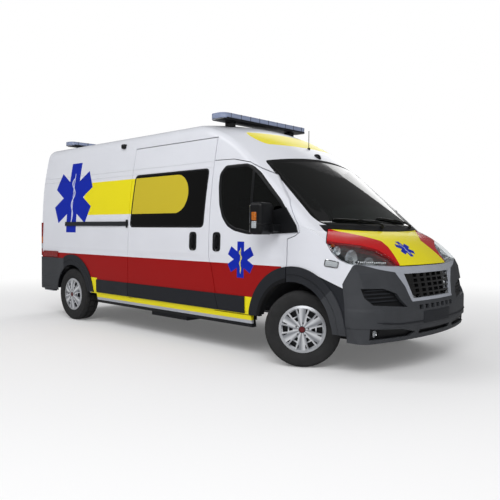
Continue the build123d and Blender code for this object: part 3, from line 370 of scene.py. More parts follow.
def staff(tree, u, v, centre_u, centre_v, reach):
    """Staff with a winding line around it, inside a star: half length in metres."""
    du = add(tree, "Math SUBTRACT", u, centre_u)
    dv = add(tree, "Math SUBTRACT", v, centre_v)
    width = reach * 0.036
    span = between(tree, dv, -reach, reach)
    rod = all_of(tree, span, between(tree, du, -width * 0.6, width * 0.6))
    taper = add(tree, "MapRange", {0: dv, 1: -reach, 2: reach * 0.8, 3: 0.03 * reach, 4: 0.15 * reach})
    wave = add(tree, "Math SINE", add(tree, "Math MULTIPLY", dv, 7.5 / reach))
    sway = add(tree, "Math MULTIPLY", wave, taper)
    gap = add(tree, "Math SUBTRACT", du, sway)
    winding = all_of(tree, between(tree, dv, -reach * 0.9, reach * 0.82),
                     between(tree, gap, -width, width))
    return any_of(tree, rod, winding)


def big_staff(tree, x, y, z, off):
    """Pale staff in the rear star."""
    return all_of(tree, staff(tree, x, z, *REAR_STAFF, 0.36),
                  add(tree, "Math GREATER_THAN", off, SIDE_SKIN))


def door_staff(tree, x, y, z, off):
    """Yellow staff in the door's star."""
    return all_of(tree, staff(tree, x, z, *DOOR_STAFF, 0.13),
                  add(tree, "Math GREATER_THAN", off, SIDE_SKIN))


# %% [markdown]
# The rest of the body's foil and trims: plastic strips on the doors, a band across the rear doors
# and a patch on the front of the roof.

# %% Doors, rear and roof
def door_trims(tree, x, y, z, off):
    """Plastic trims fixed to the doors: the strip and the end of the arch trim."""
    strip = all_of(tree, between(tree, z, 0.4375, 0.6105), between(tree, x, at_x(-2.69), at_x(-0.6395)))
    ring = between(tree, distance(tree, x, z, AXLE_X, AXLE_Z), 0.40, 0.5855)
    proud = add(tree, "Math GREATER_THAN", off, 0.93)
    return all_of(tree, any_of(tree, strip, ring), proud)


def rear_band(tree, x, y, z, off):
    """Red band across the rear doors."""
    return between(tree, z, *BAND)


def dome_patch(tree, x, y, z, off):
    """Yellow patch on the front of the roof."""
    span = all_of(tree, add(tree, "Math LESS_THAN", off, 0.54), between(tree, z, 2.205, 2.365))
    ends = add(tree, "Math LESS_THAN", distance(tree, off, z, 0.54, 2.285), 0.08)
    return all_of(tree, any_of(tree, span, ends), add(tree, "Math GREATER_THAN", x, at_x(-1.25)))


# %% [markdown]
# The bonnet is red with a yellow middle that narrows to the nose, and a small star sits beside its
# centre line. The bonnet slopes, so heights on it are stretched to give the star its full length.

# %% Bonnet
BONNET_STAR = (-0.155, 0.0)
BONNET_STAR_Z, BONNET_SLOPE = 1.112, 0.62


def bonnet_rise(tree, z):
    """Length along the bonnet's slope from the star's centre."""
    return add(tree, "Math DIVIDE", add(tree, "Math SUBTRACT", z, BONNET_STAR_Z), BONNET_SLOPE)


def bonnet_yellow(tree, x, y, z, off):
    """Yellow middle of the bonnet, wide at the rear and narrow at the nose."""
    ahead = add(tree, "Math SUBTRACT", x, at_x(0.264))
    first = add(tree, "Math SUBTRACT", 0.800, add(tree, "Math MULTIPLY", ahead, 1.44))
    nose = add(tree, "Math MAXIMUM", add(tree, "Math SUBTRACT", x, at_x(0.63)), 0.0)
    tip = add(tree, "Math ADD", 0.385, add(tree, "Math MULTIPLY", nose, 0.4))
    edge = add(tree, "Math MAXIMUM", first, tip)
    return add(tree, "Math LESS_THAN", off, edge)


def bonnet_star(tree, x, y, z, off):
    """Small blue star on the bonnet, on its slope."""
    return star(tree, y, bonnet_rise(tree, z), *BONNET_STAR, 0.112, 0.058)


def bonnet_staff(tree, x, y, z, off):
    """Pale staff in the bonnet's star."""
    return staff(tree, y, bonnet_rise(tree, z), *BONNET_STAR, 0.085)


def bonnet_lip(tree, x, y, z, off):
    """The bonnet's flange below the headlamps, which is coated dark."""
    front = add(tree, "Math MULTIPLY_ADD", off, -0.40, at_x(0.70) + 0.40 * 0.87)
    return all_of(tree, add(tree, "Math GREATER_THAN", x, front),
                  add(tree, "Math GREATER_THAN", off, 0.50))


# %% [markdown]
# The front wing ends in plastic where it meets the bumper, and the sill below the doors is coated
# in two colours. Both are one solid each, so their paint tells the parts apart by place.

# %% Wings and sills
WING_TRIM_RADIUS = 0.583
SILL_FACE = 0.955


def wing_foot(tree, x, y, z, off):
    """Plastic between the arch trim and the bumper, and the wing's edge behind the trim."""
    edge = add(tree, "Math MULTIPLY_ADD", x, -0.338, 0.875 + 0.338 * at_x(0.273))
    corner = all_of(tree, add(tree, "Math LESS_THAN", z, edge),
                    add(tree, "Math GREATER_THAN", x, at_x(0.26)))
    around = add(tree, "Math LESS_THAN", distance(tree, x, z, AXLE_X, AXLE_Z), WING_TRIM_RADIUS)
    return any_of(tree, corner, around)


def sill_yellow(tree, x, y, z, off):
    """Yellow upper part of the sill."""
    ahead = add(tree, "Math GREATER_THAN", x, at_x(-3.52))
    return all_of(tree, between(tree, z, 0.372, 0.43), add(tree, "Math GREATER_THAN", off, SILL_FACE),
                  ahead)


def sill_grey(tree, x, y, z, off):
    """Light grey foot of the sill."""
    return all_of(tree, between(tree, z, 0.338, 0.372), add(tree, "Math GREATER_THAN", off, SILL_FACE))


# %% [markdown]
# Some lines of the body are pressed into the sheet and are too shallow to cut from the solids: the
# gutter and crease under the roof, the soft swage below the windows and the roof's ribs. They come
# as height on the surface, which bends the light as a real crease does.

# %% Pressed lines
RIB_SPACING = 0.42


def pressed_lines(tree, x, y, z, off):
    """Gutter under the roof and the soft swage below the windows, as height on the side."""
    gutter = between(tree, z, 1.952, 1.960)
    crease = between(tree, z, 2.018, 2.024)
    swage = add(tree, "MapRange", {0: z, 1: 0.95, 2: 1.03, 3: 0.0, 4: 1.0},
                interpolation_type="SMOOTHSTEP")
    lines = add(tree, "Math MULTIPLY", add(tree, "Math MAXIMUM", gutter, crease), -1.4)
    behind_cab = add(tree, "Math LESS_THAN", x, at_x(-1.19))
    return add(tree, "Math ADD", add(tree, "Math MULTIPLY", lines, behind_cab),
               add(tree, "Math MULTIPLY", swage, 3.0))


def roof_ribs(tree, x, y, z, off):
    """Shallow ribs pressed across the roof."""
    wave = add(tree, "Math SINE", add(tree, "Math MULTIPLY", x, 2 * math.pi / RIB_SPACING))
    rib = add(tree, "MapRange", {0: wave, 1: 0.1, 2: 0.5, 3: 0.0, 4: 2.2},
              interpolation_type="SMOOTHSTEP")
    field = all_of(tree, add(tree, "Math LESS_THAN", off, 0.66), between(tree, x, -2.7, 0.15))
    return add(tree, "Math MULTIPLY", rib, field)


# %% [markdown]
# Body paint is a colour coat under clear lacquer, sprayed and baked, with a faint orange peel. The
# foil lies over it and is a little duller. Only faces that look outwards carry foil, and the folded
# edges of the wheel openings are coated dark, so a mask by direction sorts the two.

# %% Paint with its foil
PAINT_ROUGH, FOIL, PLASTIC = 0.26, 0.36, 0.55
EDGE_LEAN = -0.3


def facing(tree, way):
    """1 on faces that look out of the body, and on its edges: to the side, to the rear or up."""
    spot = add(tree, "TexCoord")
    normal = add(tree, "SeparateXYZ", spot.outputs["Normal"]).outputs
    if way == "up":
        return add(tree, "Math GREATER_THAN", normal[2], 0.0)
    if way == "rear":
        return add(tree, "Math LESS_THAN", normal[0], EDGE_LEAN)
    along = add(tree, "SeparateXYZ", spot.outputs["Object"]).outputs
    outward = add(tree, "Math MULTIPLY", normal[1], add(tree, "Math SIGN", along[1]))
    return add(tree, "Math GREATER_THAN", outward, EDGE_LEAN)


def arch_edge(tree, x, y, z, off):
    """The folded edge of the wheel openings, which is coated dark."""
    return any_of(tree, add(tree, "Math LESS_THAN", distance(tree, x, z, AXLE_X, AXLE_Z), FRONT_OPENING),
                  add(tree, "Math LESS_THAN", distance(tree, x, z, REAR_AXLE_X, AXLE_Z), REAR_OPENING))


def paint(name, stripes, base=WHITE, relief=None, way="side", under=arch_edge):
    """Body paint with stripes of foil laid one over the other: (mask maker, colour, roughness)."""
    material, tree = new_material(name)
    tone = add(tree, "Mix", {0: grain(tree, 400), 6: base, 7: darker(base, 0.93)}, data_type="RGBA")
    where = place(tree)
    rough = PAINT_ROUGH
    outside = facing(tree, way)
    for maker, layer, layer_rough in stripes:
        mask = add(tree, "Math MULTIPLY", maker(tree, *where), outside)
        tone = add(tree, "Mix", {0: mask, 6: tone, 7: layer}, data_type="RGBA")
        past = add(tree, "Math MULTIPLY", add(tree, "Math SUBTRACT", 1.0, mask), rough)
        rough = add(tree, "Math MULTIPLY_ADD", mask, layer_rough, past)
    if under:
        tone = add(tree, "Mix", {0: under(tree, *where), 6: tone, 7: COATED_EDGE}, data_type="RGBA")
    height = add(tree, "Math MULTIPLY", grain(tree, 1.1), 0.01)
    if relief:
        height = add(tree, "Math ADD", height, relief(tree, *where))
    add(tree, "OutputMaterial", add(tree, "BsdfPrincipled",
                                    {"Base Color": tone, "Roughness": rough,
                                     "Normal": add(tree, "Bump", {"Height": height, "Distance": 0.002}),
                                     "Coat Weight": 0.1, "Coat Roughness": 0.05,
                                     "Specular IOR Level": 0.2}))
    return material


# %% [markdown]
# Each panel has its own set of stripes, so each gets its own paint from the same function. The
# list runs from the lowest layer to the top one, as the foil was laid.

# %% The paints of this vehicle
side_paint = paint("paint_side", [(side_band, RED, FOIL), (lower_band, YELLOW, FOIL),
                                  (side_banner, YELLOW, FOIL), (big_star, BLUE, FOIL),
                                  (big_staff, colour("#C4C9E4"), FOIL), (door_star, BLUE, FOIL),
                                  (door_staff, YELLOW, FOIL), (door_trims, DARK_TRIM, PLASTIC)],
                   relief=pressed_lines)
rear_paint = paint("paint_rear", [(rear_band, RED, FOIL)], way="rear", under=None)
roof_paint = paint("paint_roof", [(dome_patch, YELLOW, FOIL)], relief=roof_ribs, way="up", under=None)
plain_paint = paint("paint_white", [], under=None)
wing_paint = paint("paint_wing", [(wing_foot, DARK_TRIM, PLASTIC)])
bonnet_paint = paint("paint_bonnet", [(bonnet_yellow, YELLOW, FOIL), (bonnet_star, BLUE, FOIL),
                                      (bonnet_staff, WHITE, FOIL)], base=BONNET_RED, way="up",
                     under=bonnet_lip)
sill_paint = paint("paint_sill", [(sill_yellow, YELLOW, FOIL), (sill_grey, colour("#A9ACB4"), 0.35)],
                   base=colour("#1C1D20"))
print("paints", [item.name for item in bpy.data.materials if item.name.startswith("paint")])

# %% [markdown]
# The arch trims have a raised outer band and the bumper has folds at its ends and above its chin.
# Both are moulded in and shallow, so they are height on the surface like the pressed lines.

# %% Relief of the trims and the bumper
def arch_step(tree):
    """Height of the raised outer band of the arch trims."""
    x, y, z, off = place(tree)
    near = add(tree, "Math MINIMUM", distance(tree, x, z, AXLE_X, AXLE_Z),
               add(tree, "Math ADD", distance(tree, x, z, REAR_AXLE_X, AXLE_Z), 0.022))
    rise = add(tree, "MapRange", {0: near, 1: 0.500, 2: 0.514, 3: 0.0, 4: 1.0},
               interpolation_type="SMOOTHSTEP")
    lip = between(tree, near, 0.492, 0.497)
    return add(tree, "Math SUBTRACT", add(tree, "Math MULTIPLY", rise, 110.0),
               add(tree, "Math MULTIPLY", lip, 30.0))


def front_part(tree):
    """1 on the part of the front arch trim that belongs to the bumper."""
    x, y, z, off = place(tree)
    ahead = add(tree, "Math MULTIPLY_ADD", add(tree, "Math SUBTRACT", x, AXLE_X), 0.9, AXLE_Z)
    return all_of(tree, add(tree, "Math LESS_THAN", z, ahead), add(tree, "Math GREATER_THAN", x, AXLE_X))


def bumper_folds(tree):
    """Height of the bumper's pressed ledge at its ends and of the fold above its chin."""
    x, y, z, off = place(tree)
    ledge = add(tree, "MapRange", {0: z, 1: 0.575, 2: 0.612, 3: 1.0, 4: 0.0},
                interpolation_type="SMOOTHSTEP")
    chin = add(tree, "MapRange", {0: z, 1: 0.425, 2: 0.440, 3: 0.0, 4: 1.0},
               interpolation_type="SMOOTHSTEP")
    ends = add(tree, "Math GREATER_THAN", off, 0.62)
    both = add(tree, "Math ADD", add(tree, "Math MULTIPLY", ledge, ends), chin)
    return add(tree, "Math MULTIPLY", both, 90.0)


# %% [markdown]
# Moulded plastic has a fine leather-like grain that breaks the highlight, and goes a little paler
# where the weather reaches it. Each finish could be its own tree, but they differ only in numbers,
# so one function makes every plastic, coat and metal. Real grains are 0.1 to 0.5 mm wide; they are
# drawn at 0.7 mm and more, because finer ones wouldn't show.

# %% A grained finish
def moulded(name, dark, pale, rough, grains, depth, metallic=0.0, coat=0.0, relief=None, patch=None):
    """Material with a grain: two tones, roughness, grain width in millimetres and depth in metres."""
    material, tree = new_material(name)
    tone = add(tree, "Mix", {0: grain(tree, 200, 4.0), 6: dark, 7: pale}, data_type="RGBA")
    if patch:
        tone = add(tree, "Mix", {0: patch[0](tree), 6: tone, 7: patch[1]}, data_type="RGBA")
    fine = grain(tree, grains)
    if relief:
        fine = add(tree, "Math ADD", fine, relief(tree))
    wear = add(tree, "Math MULTIPLY", grain(tree, 45.5, 3.0), 0.08)
    wear = add(tree, "Math ADD", rough - 0.04, wear)
    add(tree, "OutputMaterial", add(tree, "BsdfPrincipled",
                                    {"Base Color": tone, "Roughness": wear, "Metallic": metallic,
                                     "Coat Weight": coat, "Specular IOR Level": 0.5 if metallic else 0.3,
                                     "Normal": add(tree, "Bump", {"Height": fine, "Distance": depth})}))
    return material


# %% [markdown]
# Plastics on a van are few: grained trims left unpainted, smooth black around glass and grille, and
# dyed panels inside. They could be bought as ready shaders, but two numbers tell them apart: how
# glossy the skin is and how deep its grain is.

# %% Plastics
# Polypropylene moulded with a grain and left unpainted: a broad, soft sheen without a sharp edge.
bumper_plastic = moulded("bumper_plastic", colour("#35373B"), colour("#44464A"), 0.52, 0.71, 0.00006,
                         relief=bumper_folds)
# The same in a darker colour: the trims read as a dark ring around pale bumper ends.
arch_plastic = moulded("arch_plastic", colour("#202227"), colour("#2C2E33"), 0.55, 0.71, 0.00006,
                       relief=arch_step, patch=(front_part, colour("#3A3C40")))
trim_plastic = moulded("trim_plastic", colour("#202227"), colour("#2C2E33"), 0.55, 0.71, 0.00006)
# Glass-filled nylon, moulded fine: handles, wipers and mirror housings look dry and nearly black.
black_plastic = moulded("black_plastic", colour("#0D0E10"), colour("#17181B"), 0.42, 0.83, 0.00005)
# ABS from a polished mould: it mirrors, so it reads deeper than the grained plastics beside it.
gloss_black = moulded("gloss_black", colour("#08090A"), colour("#0E0F11"), 0.12, 3.3, 0.00001, coat=0.6)
# ABS with a leather grain, dyed grey: a flat, even tone for the walls and panels inside.
cabin_grey = moulded("cabin_grey", colour("#54575C"), colour("#64676C"), 0.6, 1.67, 0.00003)
# Clear polycarbonate over a white chip: small bright dots in the headlamp.
led_white = moulded("led_white", colour("#F2F4F6"), colour("#FAFBFC"), 0.2, 2.0, 0.00001, coat=0.5)

# %% [markdown]
# Metal parts differ by how they were made: cast metal is rough and pale, steel under the body is
# coated against rust, and bright parts are plated or sprayed. Metals keep Blender's default IOR.

# %% Coats and metals
# Sprayed wax and rubber coat: dull, lumpy and dark, it swallows the light under the floor.
under_coat = moulded("under_coat", colour("#16171A"), colour("#232529"), 0.8, 2.0, 0.0003)
# Steel dipped in black paint: edges still catch a little metal light.
chassis_steel = moulded("chassis_steel", colour("#1D1E20"), colour("#2E2F31"), 0.6, 1.43, 0.0001,
                        metallic=0.4)
# Sand-cast aluminium: pale grey, and rough enough that nothing mirrors in it.
cast_metal = moulded("cast_metal", colour("#6B6C6E"), colour("#88898B"), 0.55, 2.5, 0.0002, metallic=0.9)
# Silver lacquer over plastic: paler than the bumper, with a soft gloss around the grille.
surround_paint = moulded("surround_paint", colour("#9498A1"), colour("#A9ADB6"), 0.34, 1.1, 0.00001,
                         coat=0.3)
# Chromium plated on plastic: a mirror with small, sharp highlights on rims and edges.
chrome = moulded("chrome", colour("#C9CBCE"), colour("#D6D8DB"), 0.08, 5.0, 0.000005, metallic=1.0)
# Aluminium vapour on moulded plastic: bright bezels and bowls, a little broken by their facets.
lamp_silver = moulded("lamp_silver", colour("#A9ACB2"), colour("#D3D6DB"), 0.25, 16.7, 0.0004,
                      metallic=0.35)
reflector = moulded("reflector", colour("#F4F6F8"), colour("#FAFBFC"), 0.15, 12.5, 0.0002, metallic=0.15,
                    coat=0.6)
print("materials so far", len(bpy.data.materials))

# %% [markdown]
# A wheel cover is silver paint over plastic: bright, with light and shade painted on its facets in
# streaks that run out from the middle. The tyre's rubber is dull; its tread and the rings on its wall
# are pressed in, so they come as height on the surface, worked out from the distance to the axle and
# the angle around it.

# %% Wheel materials
FRONT_HALF_TRACK, REAR_HALF_TRACK = 0.905, 0.895
TREAD_RADIUS = 0.3575
COVER_FACE = 0.075
CAP_RADIUS, CAP_RING = 0.026, 0.033


def wheel_frame(tree, side, axle_x, half_track, steered):
    """Distance from the axle, place along it, and angle around it, for one wheel."""
    spot = add(tree, "TexCoord").outputs["Object"]
    centre = Vector((axle_x, side * half_track, AXLE_Z))
    if steered:
        pin = Vector((axle_x, side * KINGPIN_Y, AXLE_Z))
        centre = pin + Matrix.Rotation(STEER_ANGLE, 3, "Z") @ (centre - pin)
    moved = add(tree, "VectorMath SUBTRACT", spot, centre)
    if steered:
        moved = add(tree, "VectorRotate", {"Vector": moved, "Angle": -STEER_ANGLE},
                    rotation_type="Z_AXIS")
    parts = add(tree, "SeparateXYZ", moved).outputs
    radius = add(tree, "VectorMath LENGTH", add(tree, "CombineXYZ", parts[0], 0.0, parts[2]))
    angle = add(tree, "Math ARCTAN2", parts[2], parts[0])
    return radius, parts[1], angle


def tyre_rubber(name, *where):
    """Rubber with a grooved tread and ringed side walls; the tread's cuts carry painted shade."""
    material, tree = new_material(name)
    radius, along, angle = wheel_frame(tree, *where)
    tread = add(tree, "Math GREATER_THAN", radius, TREAD_RADIUS)
    off = add(tree, "Math ABSOLUTE", along)
    from_groove = add(tree, "Math ABSOLUTE", add(tree, "Math SUBTRACT", off, 0.036))
    groove = between(tree, from_groove, -1.0, 0.005)
    lean = add(tree, "Math ADD", add(tree, "Math MULTIPLY", angle, 26.0),
               add(tree, "Math MULTIPLY", off, 30.0))
    sipe = add(tree, "Math GREATER_THAN", add(tree, "Math SINE", lean), 0.86)
    cut = add(tree, "Math MULTIPLY", tread, any_of(tree, groove, sipe))
    lugs = add(tree, "Math SINE", add(tree, "Math MULTIPLY", angle, 52.0))
    shoulder = all_of(tree, between(tree, radius, 0.338, TREAD_RADIUS),
                      add(tree, "Math GREATER_THAN", lugs, 0.3))
    rings = add(tree, "Math MULTIPLY", between(tree, radius, 0.225, 0.335),
                add(tree, "Math SINE", add(tree, "Math MULTIPLY", radius, 900.0)))
    pressed = add(tree, "Math ADD", cut, add(tree, "Math MULTIPLY", shoulder, 0.6))
    height = add(tree, "Math SUBTRACT", add(tree, "Math MULTIPLY", rings, 0.12), pressed)
    dust = add(tree, "Mix", {0: grain(tree, 71.4, 4.0), 6: colour("#1B1B1C"), 7: colour("#2A2A2B")},
               data_type="RGBA")
    # The grooves and sipes are painted near black: painted shade in the cuts of the tread.
    tone = add(tree, "Mix", {0: cut, 6: dust, 7: colour("#070707")}, data_type="RGBA")
    add(tree, "OutputMaterial", add(tree, "BsdfPrincipled",
                                    {"Base Color": tone, "Roughness": 0.78,
                                     "Normal": add(tree, "Bump", {"Height": height, "Distance": 0.004})}))
    return material


def wheel_silver(name, *where):
    """Silver cover with painted light and shade in radial streaks, darker deep inside, dull red cap."""
    material, tree = new_material(name)
    radius, along, angle = wheel_frame(tree, *where)
    outward = add(tree, "Math MULTIPLY", along, float(where[0]))
    deep = add(tree, "Math LESS_THAN", outward, COVER_FACE)
    # A sine of twelve times the angle paints lit and shaded facets, two to a spoke: painted light and
    # shade.
    facet = add(tree, "Math SINE", add(tree, "Math MULTIPLY", angle, 12.0))
    disc = add(tree, "Math LESS_THAN", radius, 0.196)
    painted_facet_light = add(tree, "Math MULTIPLY", add(tree, "Math MULTIPLY", facet, disc), 0.5)
    silver = add(tree, "Mix", {0: add(tree, "Math ADD", 0.5, painted_facet_light), 6: colour("#94979D"),
                               7: colour("#E6E8EC")}, data_type="RGBA")
    tone = add(tree, "Mix", {0: deep, 6: silver, 7: colour("#2A2B2E")}, data_type="RGBA")
    cap = all_of(tree, add(tree, "Math LESS_THAN", radius, CAP_RADIUS),
                 add(tree, "Math GREATER_THAN", outward, COVER_FACE))
    ring = between(tree, radius, CAP_RADIUS, CAP_RING)
    tone = add(tree, "Mix", {0: cap, 6: tone, 7: colour("#5C0A12")}, data_type="RGBA")
    tone = add(tree, "Mix", {0: ring, 6: tone, 7: colour("#3A3B3E")}, data_type="RGBA")
    metal = add(tree, "Math MULTIPLY", add(tree, "Math SUBTRACT", 1.0, cap), 0.4)
    add(tree, "OutputMaterial", add(tree, "BsdfPrincipled",
                                    {"Base Color": tone, "Roughness": 0.3, "Metallic": metal,
                                     "Normal": add(tree, "Bump", {"Height": grain(tree, 2.5),
                                                                  "Distance": 0.00002})}))
    return material


# %% [markdown]
# Window glass is float glass, tinted in the melt. The rear panes are nearly black, so the load
# space stays private. Glass that bends light would throw a full shadow into the cab, so shadow
# rays pass the panes as through a filter, which keeps the seats lit.

# %% Window glass
FOIL_ON_GLASS = colour("#C6B32C")


def glass(name, tint, rough=0.015, film=None):
    """Tinted pane that lets light into the cab, with a coloured film where a mask says so."""
    material, tree = new_material(name)
    haze = add(tree, "Mix", {0: grain(tree, 250), 6: tint, 7: darker(tint, 0.9)}, data_type="RGBA")
    pane = add(tree, "BsdfPrincipled", {"Base Color": haze, "Roughness": rough, "IOR": 1.45,
                                        "Transmission Weight": 1.0, "Specular IOR Level": 0.2})
    clear = add(tree, "BsdfTransparent", {"Color": haze})
    shadow = add(tree, "LightPath").outputs["Is Shadow Ray"]
    result = add(tree, "MixShader", shadow, pane, clear)
    if film:
        foil = add(tree, "BsdfPrincipled", {"Base Color": FOIL_ON_GLASS, "Roughness": 0.25,
                                            "Specular IOR Level": 0.3})
        result = add(tree, "MixShader", film(tree, *place(tree)), result, foil)
    add(tree, "OutputMaterial", result)
    return material


# Float glass with a grey-green tint: the cab shows dimly behind its reflections.
cab_glass = glass("cab_glass", colour("#303836"))
screen_glass = glass("screen_glass", colour("#363E3C"))
# Privacy glass, dyed almost black: it reads as a dark plane with a clean highlight.
dark_glass = glass("dark_glass", colour("#0B0D10"), film=side_banner)
rear_tint = glass("rear_tint", colour("#0B0D10"))

# %% [markdown]
# Lamp covers and lenses are polycarbonate or acrylic, moulded clear or dyed through. A solid one
# with glass's IOR would act as a thick lens here, because the CAD cover fills its whole lamp, so
# the headlamp's is drawn as a thin skin: clear, with a little mirror at low angles.

# %% Lamp covers and lenses
ACRYLIC_IOR = 1.49


def thin_cover(name, tint):
    """Clear moulded cover: light passes straight through and its skin mirrors a little."""
    material, tree = new_material(name)
    haze = add(tree, "Mix", {0: grain(tree, 167), 6: tint, 7: darker(tint, 0.94)}, data_type="RGBA")
    clear = add(tree, "BsdfTransparent", {"Color": haze})
    skin = add(tree, "BsdfGlossy", {"Color": WHITE_LIGHT, "Roughness": 0.02})
    share = add(tree, "Math MULTIPLY", add(tree, "Fresnel", {"IOR": ACRYLIC_IOR}), 0.5)
    add(tree, "OutputMaterial", add(tree, "MixShader", share, clear, skin))
    return material


def lens(name, tint, rib, deep=0.6, bands=()):
    """Moulded lamp lens from its rib width in millimetres; bands are (low z, high z, colour)."""
    material, tree = new_material(name)
    x, y, z, off = place(tree)
    along = add(tree, "Math ADD", x, y)
    wave = add(tree, "Math SINE", add(tree, "Math MULTIPLY", along, 2000 * math.pi / rib))
    rows = add(tree, "Math SINE", add(tree, "Math MULTIPLY", z, 1000 * math.pi / rib))
    height = add(tree, "Math ADD", wave, rows)
    depth = add(tree, "Math ADD", 0.5, add(tree, "Math MULTIPLY", height, 0.2))
    tone = add(tree, "Mix", {0: depth, 6: tint, 7: darker(tint, deep)}, data_type="RGBA")
    for low, high, band in bands:
        tone = add(tree, "Mix", {0: between(tree, z, low, high), 6: tone, 7: band}, data_type="RGBA")
    add(tree, "OutputMaterial", add(tree, "BsdfPrincipled",
                                    {"Base Color": tone, "Roughness": 0.08, "IOR": ACRYLIC_IOR,
                                     "Transmission Weight": 0.25, "Coat Weight": 0.6,
                                     "Normal": add(tree, "Bump", {"Height": height,
                                                                  "Distance": 0.0008})}))
    return material


# Clear polycarbonate, hard-coated: almost nothing but a thin edge of reflection.
lamp_glass = thin_cover("lamp_glass", colour("#FAFCFD"))
# Acrylic dyed through and moulded with ribs: the ribs break the colour into light and dark cells.
red_lens = lens("red_lens", colour("#A31414"), 11.1)
amber_lens = lens("amber_lens", colour("#E07A12"), 8.33)
clear_lens = lens("clear_lens", colour("#CDD3D8"), 8.33, 0.8)
# The light bars stand on a black foot, and their pale blue cells look grey while they are off.
BAR_FOOT_Z = 2.531
blue_lens = lens("blue_lens", colour("#A6B2D2"), 22.2, 0.8, [(0.0, BAR_FOOT_Z, colour("#0C0D0F"))])
# A tail lamp is one moulding in three colours; the bands are tenths of its height.
tail_low, tail_high = (corner[2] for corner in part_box("tail_lamps"))
tail_part = (tail_high - tail_low) / 10
tail_lens = lens("tail_lens", colour("#A31414"), 11.1, 0.6,
                 [(tail_low + 2.2 * tail_part, tail_low + 3.8 * tail_part, colour("#C9CED3")),
                  (tail_low + 4.0 * tail_part, tail_low + 5.8 * tail_part, colour("#D8741A"))])
print("tail lamps from", round(tail_low, 3), "to", round(tail_high, 3))

# %% [markdown]
# Seat cloth is a plain weave: two crossed waves give its threads, and a slow noise gives the worn,
# slightly paler places. Real threads lie 0.5 mm apart; they are drawn at 1.4 mm so that they show.

# %% Cloth
def cloth(name, dark, pale, spacing):
    """Woven cloth from the spacing of its threads in millimetres."""
    material, tree = new_material(name)
    x, y, z, off = place(tree)
    per_metre = 1000 * math.pi / spacing
    warp = add(tree, "Math SINE", add(tree, "Math MULTIPLY", y, per_metre))
    weft = add(tree, "Math SINE", add(tree, "Math MULTIPLY", add(tree, "Math ADD", x, z), per_metre))
    weave = add(tree, "Math MULTIPLY", warp, weft)
    tone = add(tree, "Mix", {0: grain(tree, 125, 3.0), 6: dark, 7: pale}, data_type="RGBA")
    add(tree, "OutputMaterial", add(tree, "BsdfPrincipled",
                                    {"Base Color": tone, "Roughness": 0.9, "Sheen Weight": 0.3,
                                     "Normal": add(tree, "Bump", {"Height": weave, "Distance": 0.0004})}))
    return material


# Polyester, woven and dyed dark grey: matt, with a faint pale sheen where it curves away.
seat_cloth = cloth("seat_cloth", colour("#1E2126"), colour("#2D3138"), 1.43)

# %% [markdown]
# Every CAD solid now gets its finish. A few nodes hold pieces of more than one finish, and their
# paint tells them apart by place.

# %% Finishes on the CAD solids
finishes = {"side_panel_right": side_paint, "side_panel_left": side_paint, "sliding_door": side_paint,
            "roof": roof_paint, "screen_pillars": plain_paint, "front_wings": wing_paint,
            "bonnet": bonnet_paint, "cowl": black_plastic, "side_windows": dark_glass,
            "windscreen": screen_glass, "headlamps": lamp_glass, "front_bumper": bumper_plastic,
            "bumper_liners": black_plastic, "grille_surround": surround_paint, "grille": gloss_black,
            "floor": sill_paint, "rear_wheel_houses": under_coat, "front_bay": under_coat,
            "partition": cabin_grey, "rear_bumper": bumper_plastic, "body_trims": arch_plastic,
            "tail_lamps": tail_lens, "side_step": trim_plastic, "roof_fittings": black_plastic,
            "light_bars": blue_lens, "seat_bases": black_plastic, "seats": seat_cloth,
            "dashboard": trim_plastic, "steering_wheel": black_plastic, "powertrain": cast_metal,
            "fuel_tank": black_plastic, "front_suspension": chassis_steel, "rear_axle": chassis_steel}
WHEELS = (("front", AXLE_X, FRONT_HALF_TRACK, True), ("rear", REAR_AXLE_X, REAR_HALF_TRACK, False))
for side, side_name in SIDES:
    finishes["front_door_" + side_name] = side_paint
    finishes["front_window_" + side_name] = cab_glass
    finishes["mirror_" + side_name] = black_plastic
    finishes["rear_door_" + side_name] = rear_paint
    finishes["rear_window_" + side_name] = rear_tint
    finishes["knuckle_" + side_name] = chassis_steel
    for end, axle_x, half_track, steered in WHEELS:
        wheel = f"{end}_{side_name}"
        finishes["tyre_" + wheel] = tyre_rubber("rubber_" + wheel, side, axle_x, half_track, steered)
        finishes["rim_" + wheel] = wheel_silver("silver_" + wheel, side, axle_x, half_track, steered)
for name, material in finishes.items():
    mesh = nodes[name].data
    mesh.materials.clear()
    mesh.materials.append(material)
print("finished nodes", len(finishes), "of", len(nodes))

# %% [markdown]
# Fitted pieces follow the body, so each is laid on it: a point is found by sending a ray on to the
# solids from the side, the front or above, and the piece is built out from there. This works on a
# curved panel, where a typed position would sink in or float.

# %% Rays on to the solids
def tree_of(*names):
    """Search tree over the meshes of some CAD nodes."""
    points, faces = [], []
    for name in names:
        mesh = nodes[name].data
        base = len(points)
        points += [vertex.co.copy() for vertex in mesh.vertices]
        faces += [[base + index for index in face.vertices] for face in mesh.polygons]
    return BVHTree.FromPolygons(points, faces)


def caster(names, start_at, way, reach):
    """Function from two places on the body to the point and the normal that a ray finds there.

    A ray that misses takes the nearest point to the place at its reach.
    """
    found, way = tree_of(*names), Vector(way)

    def cast(u, v):
        start = Vector(start_at(u, v))
        hit, normal, _, _ = found.ray_cast(start, way)
        if hit is None:
            hit, normal, _, _ = found.find_nearest(start + way * reach)
        return hit, normal if normal.dot(way) < 0 else -normal
    return cast


def side_caster(side, *names):
    """From one side, at a length from the axle and a height."""
    return caster(names, lambda u, v: (at_x(u), side * 1.6, v), (0, -side, 0), 0.58)


def front_caster(*names):
    """From the front, at a width and a height."""
    return caster(names, lambda u, v: (3.6, u, v), (-1, 0, 0), 1.0)


def rear_caster(*names):
    """From the rear, at a width and a height."""
    return caster(names, lambda u, v: (-3.6, u, v), (1, 0, 0), 0.68)


def top_caster(*names):
    """From above, at a length from the axle and a width."""
    return caster(names, lambda u, v: (at_x(u), v, 3.2), (0, 0, -1), 0.7)


def above(cast, u, v, height):
    """Point at a height above the surface."""
    hit, normal = cast(u, v)
    return hit + normal * height


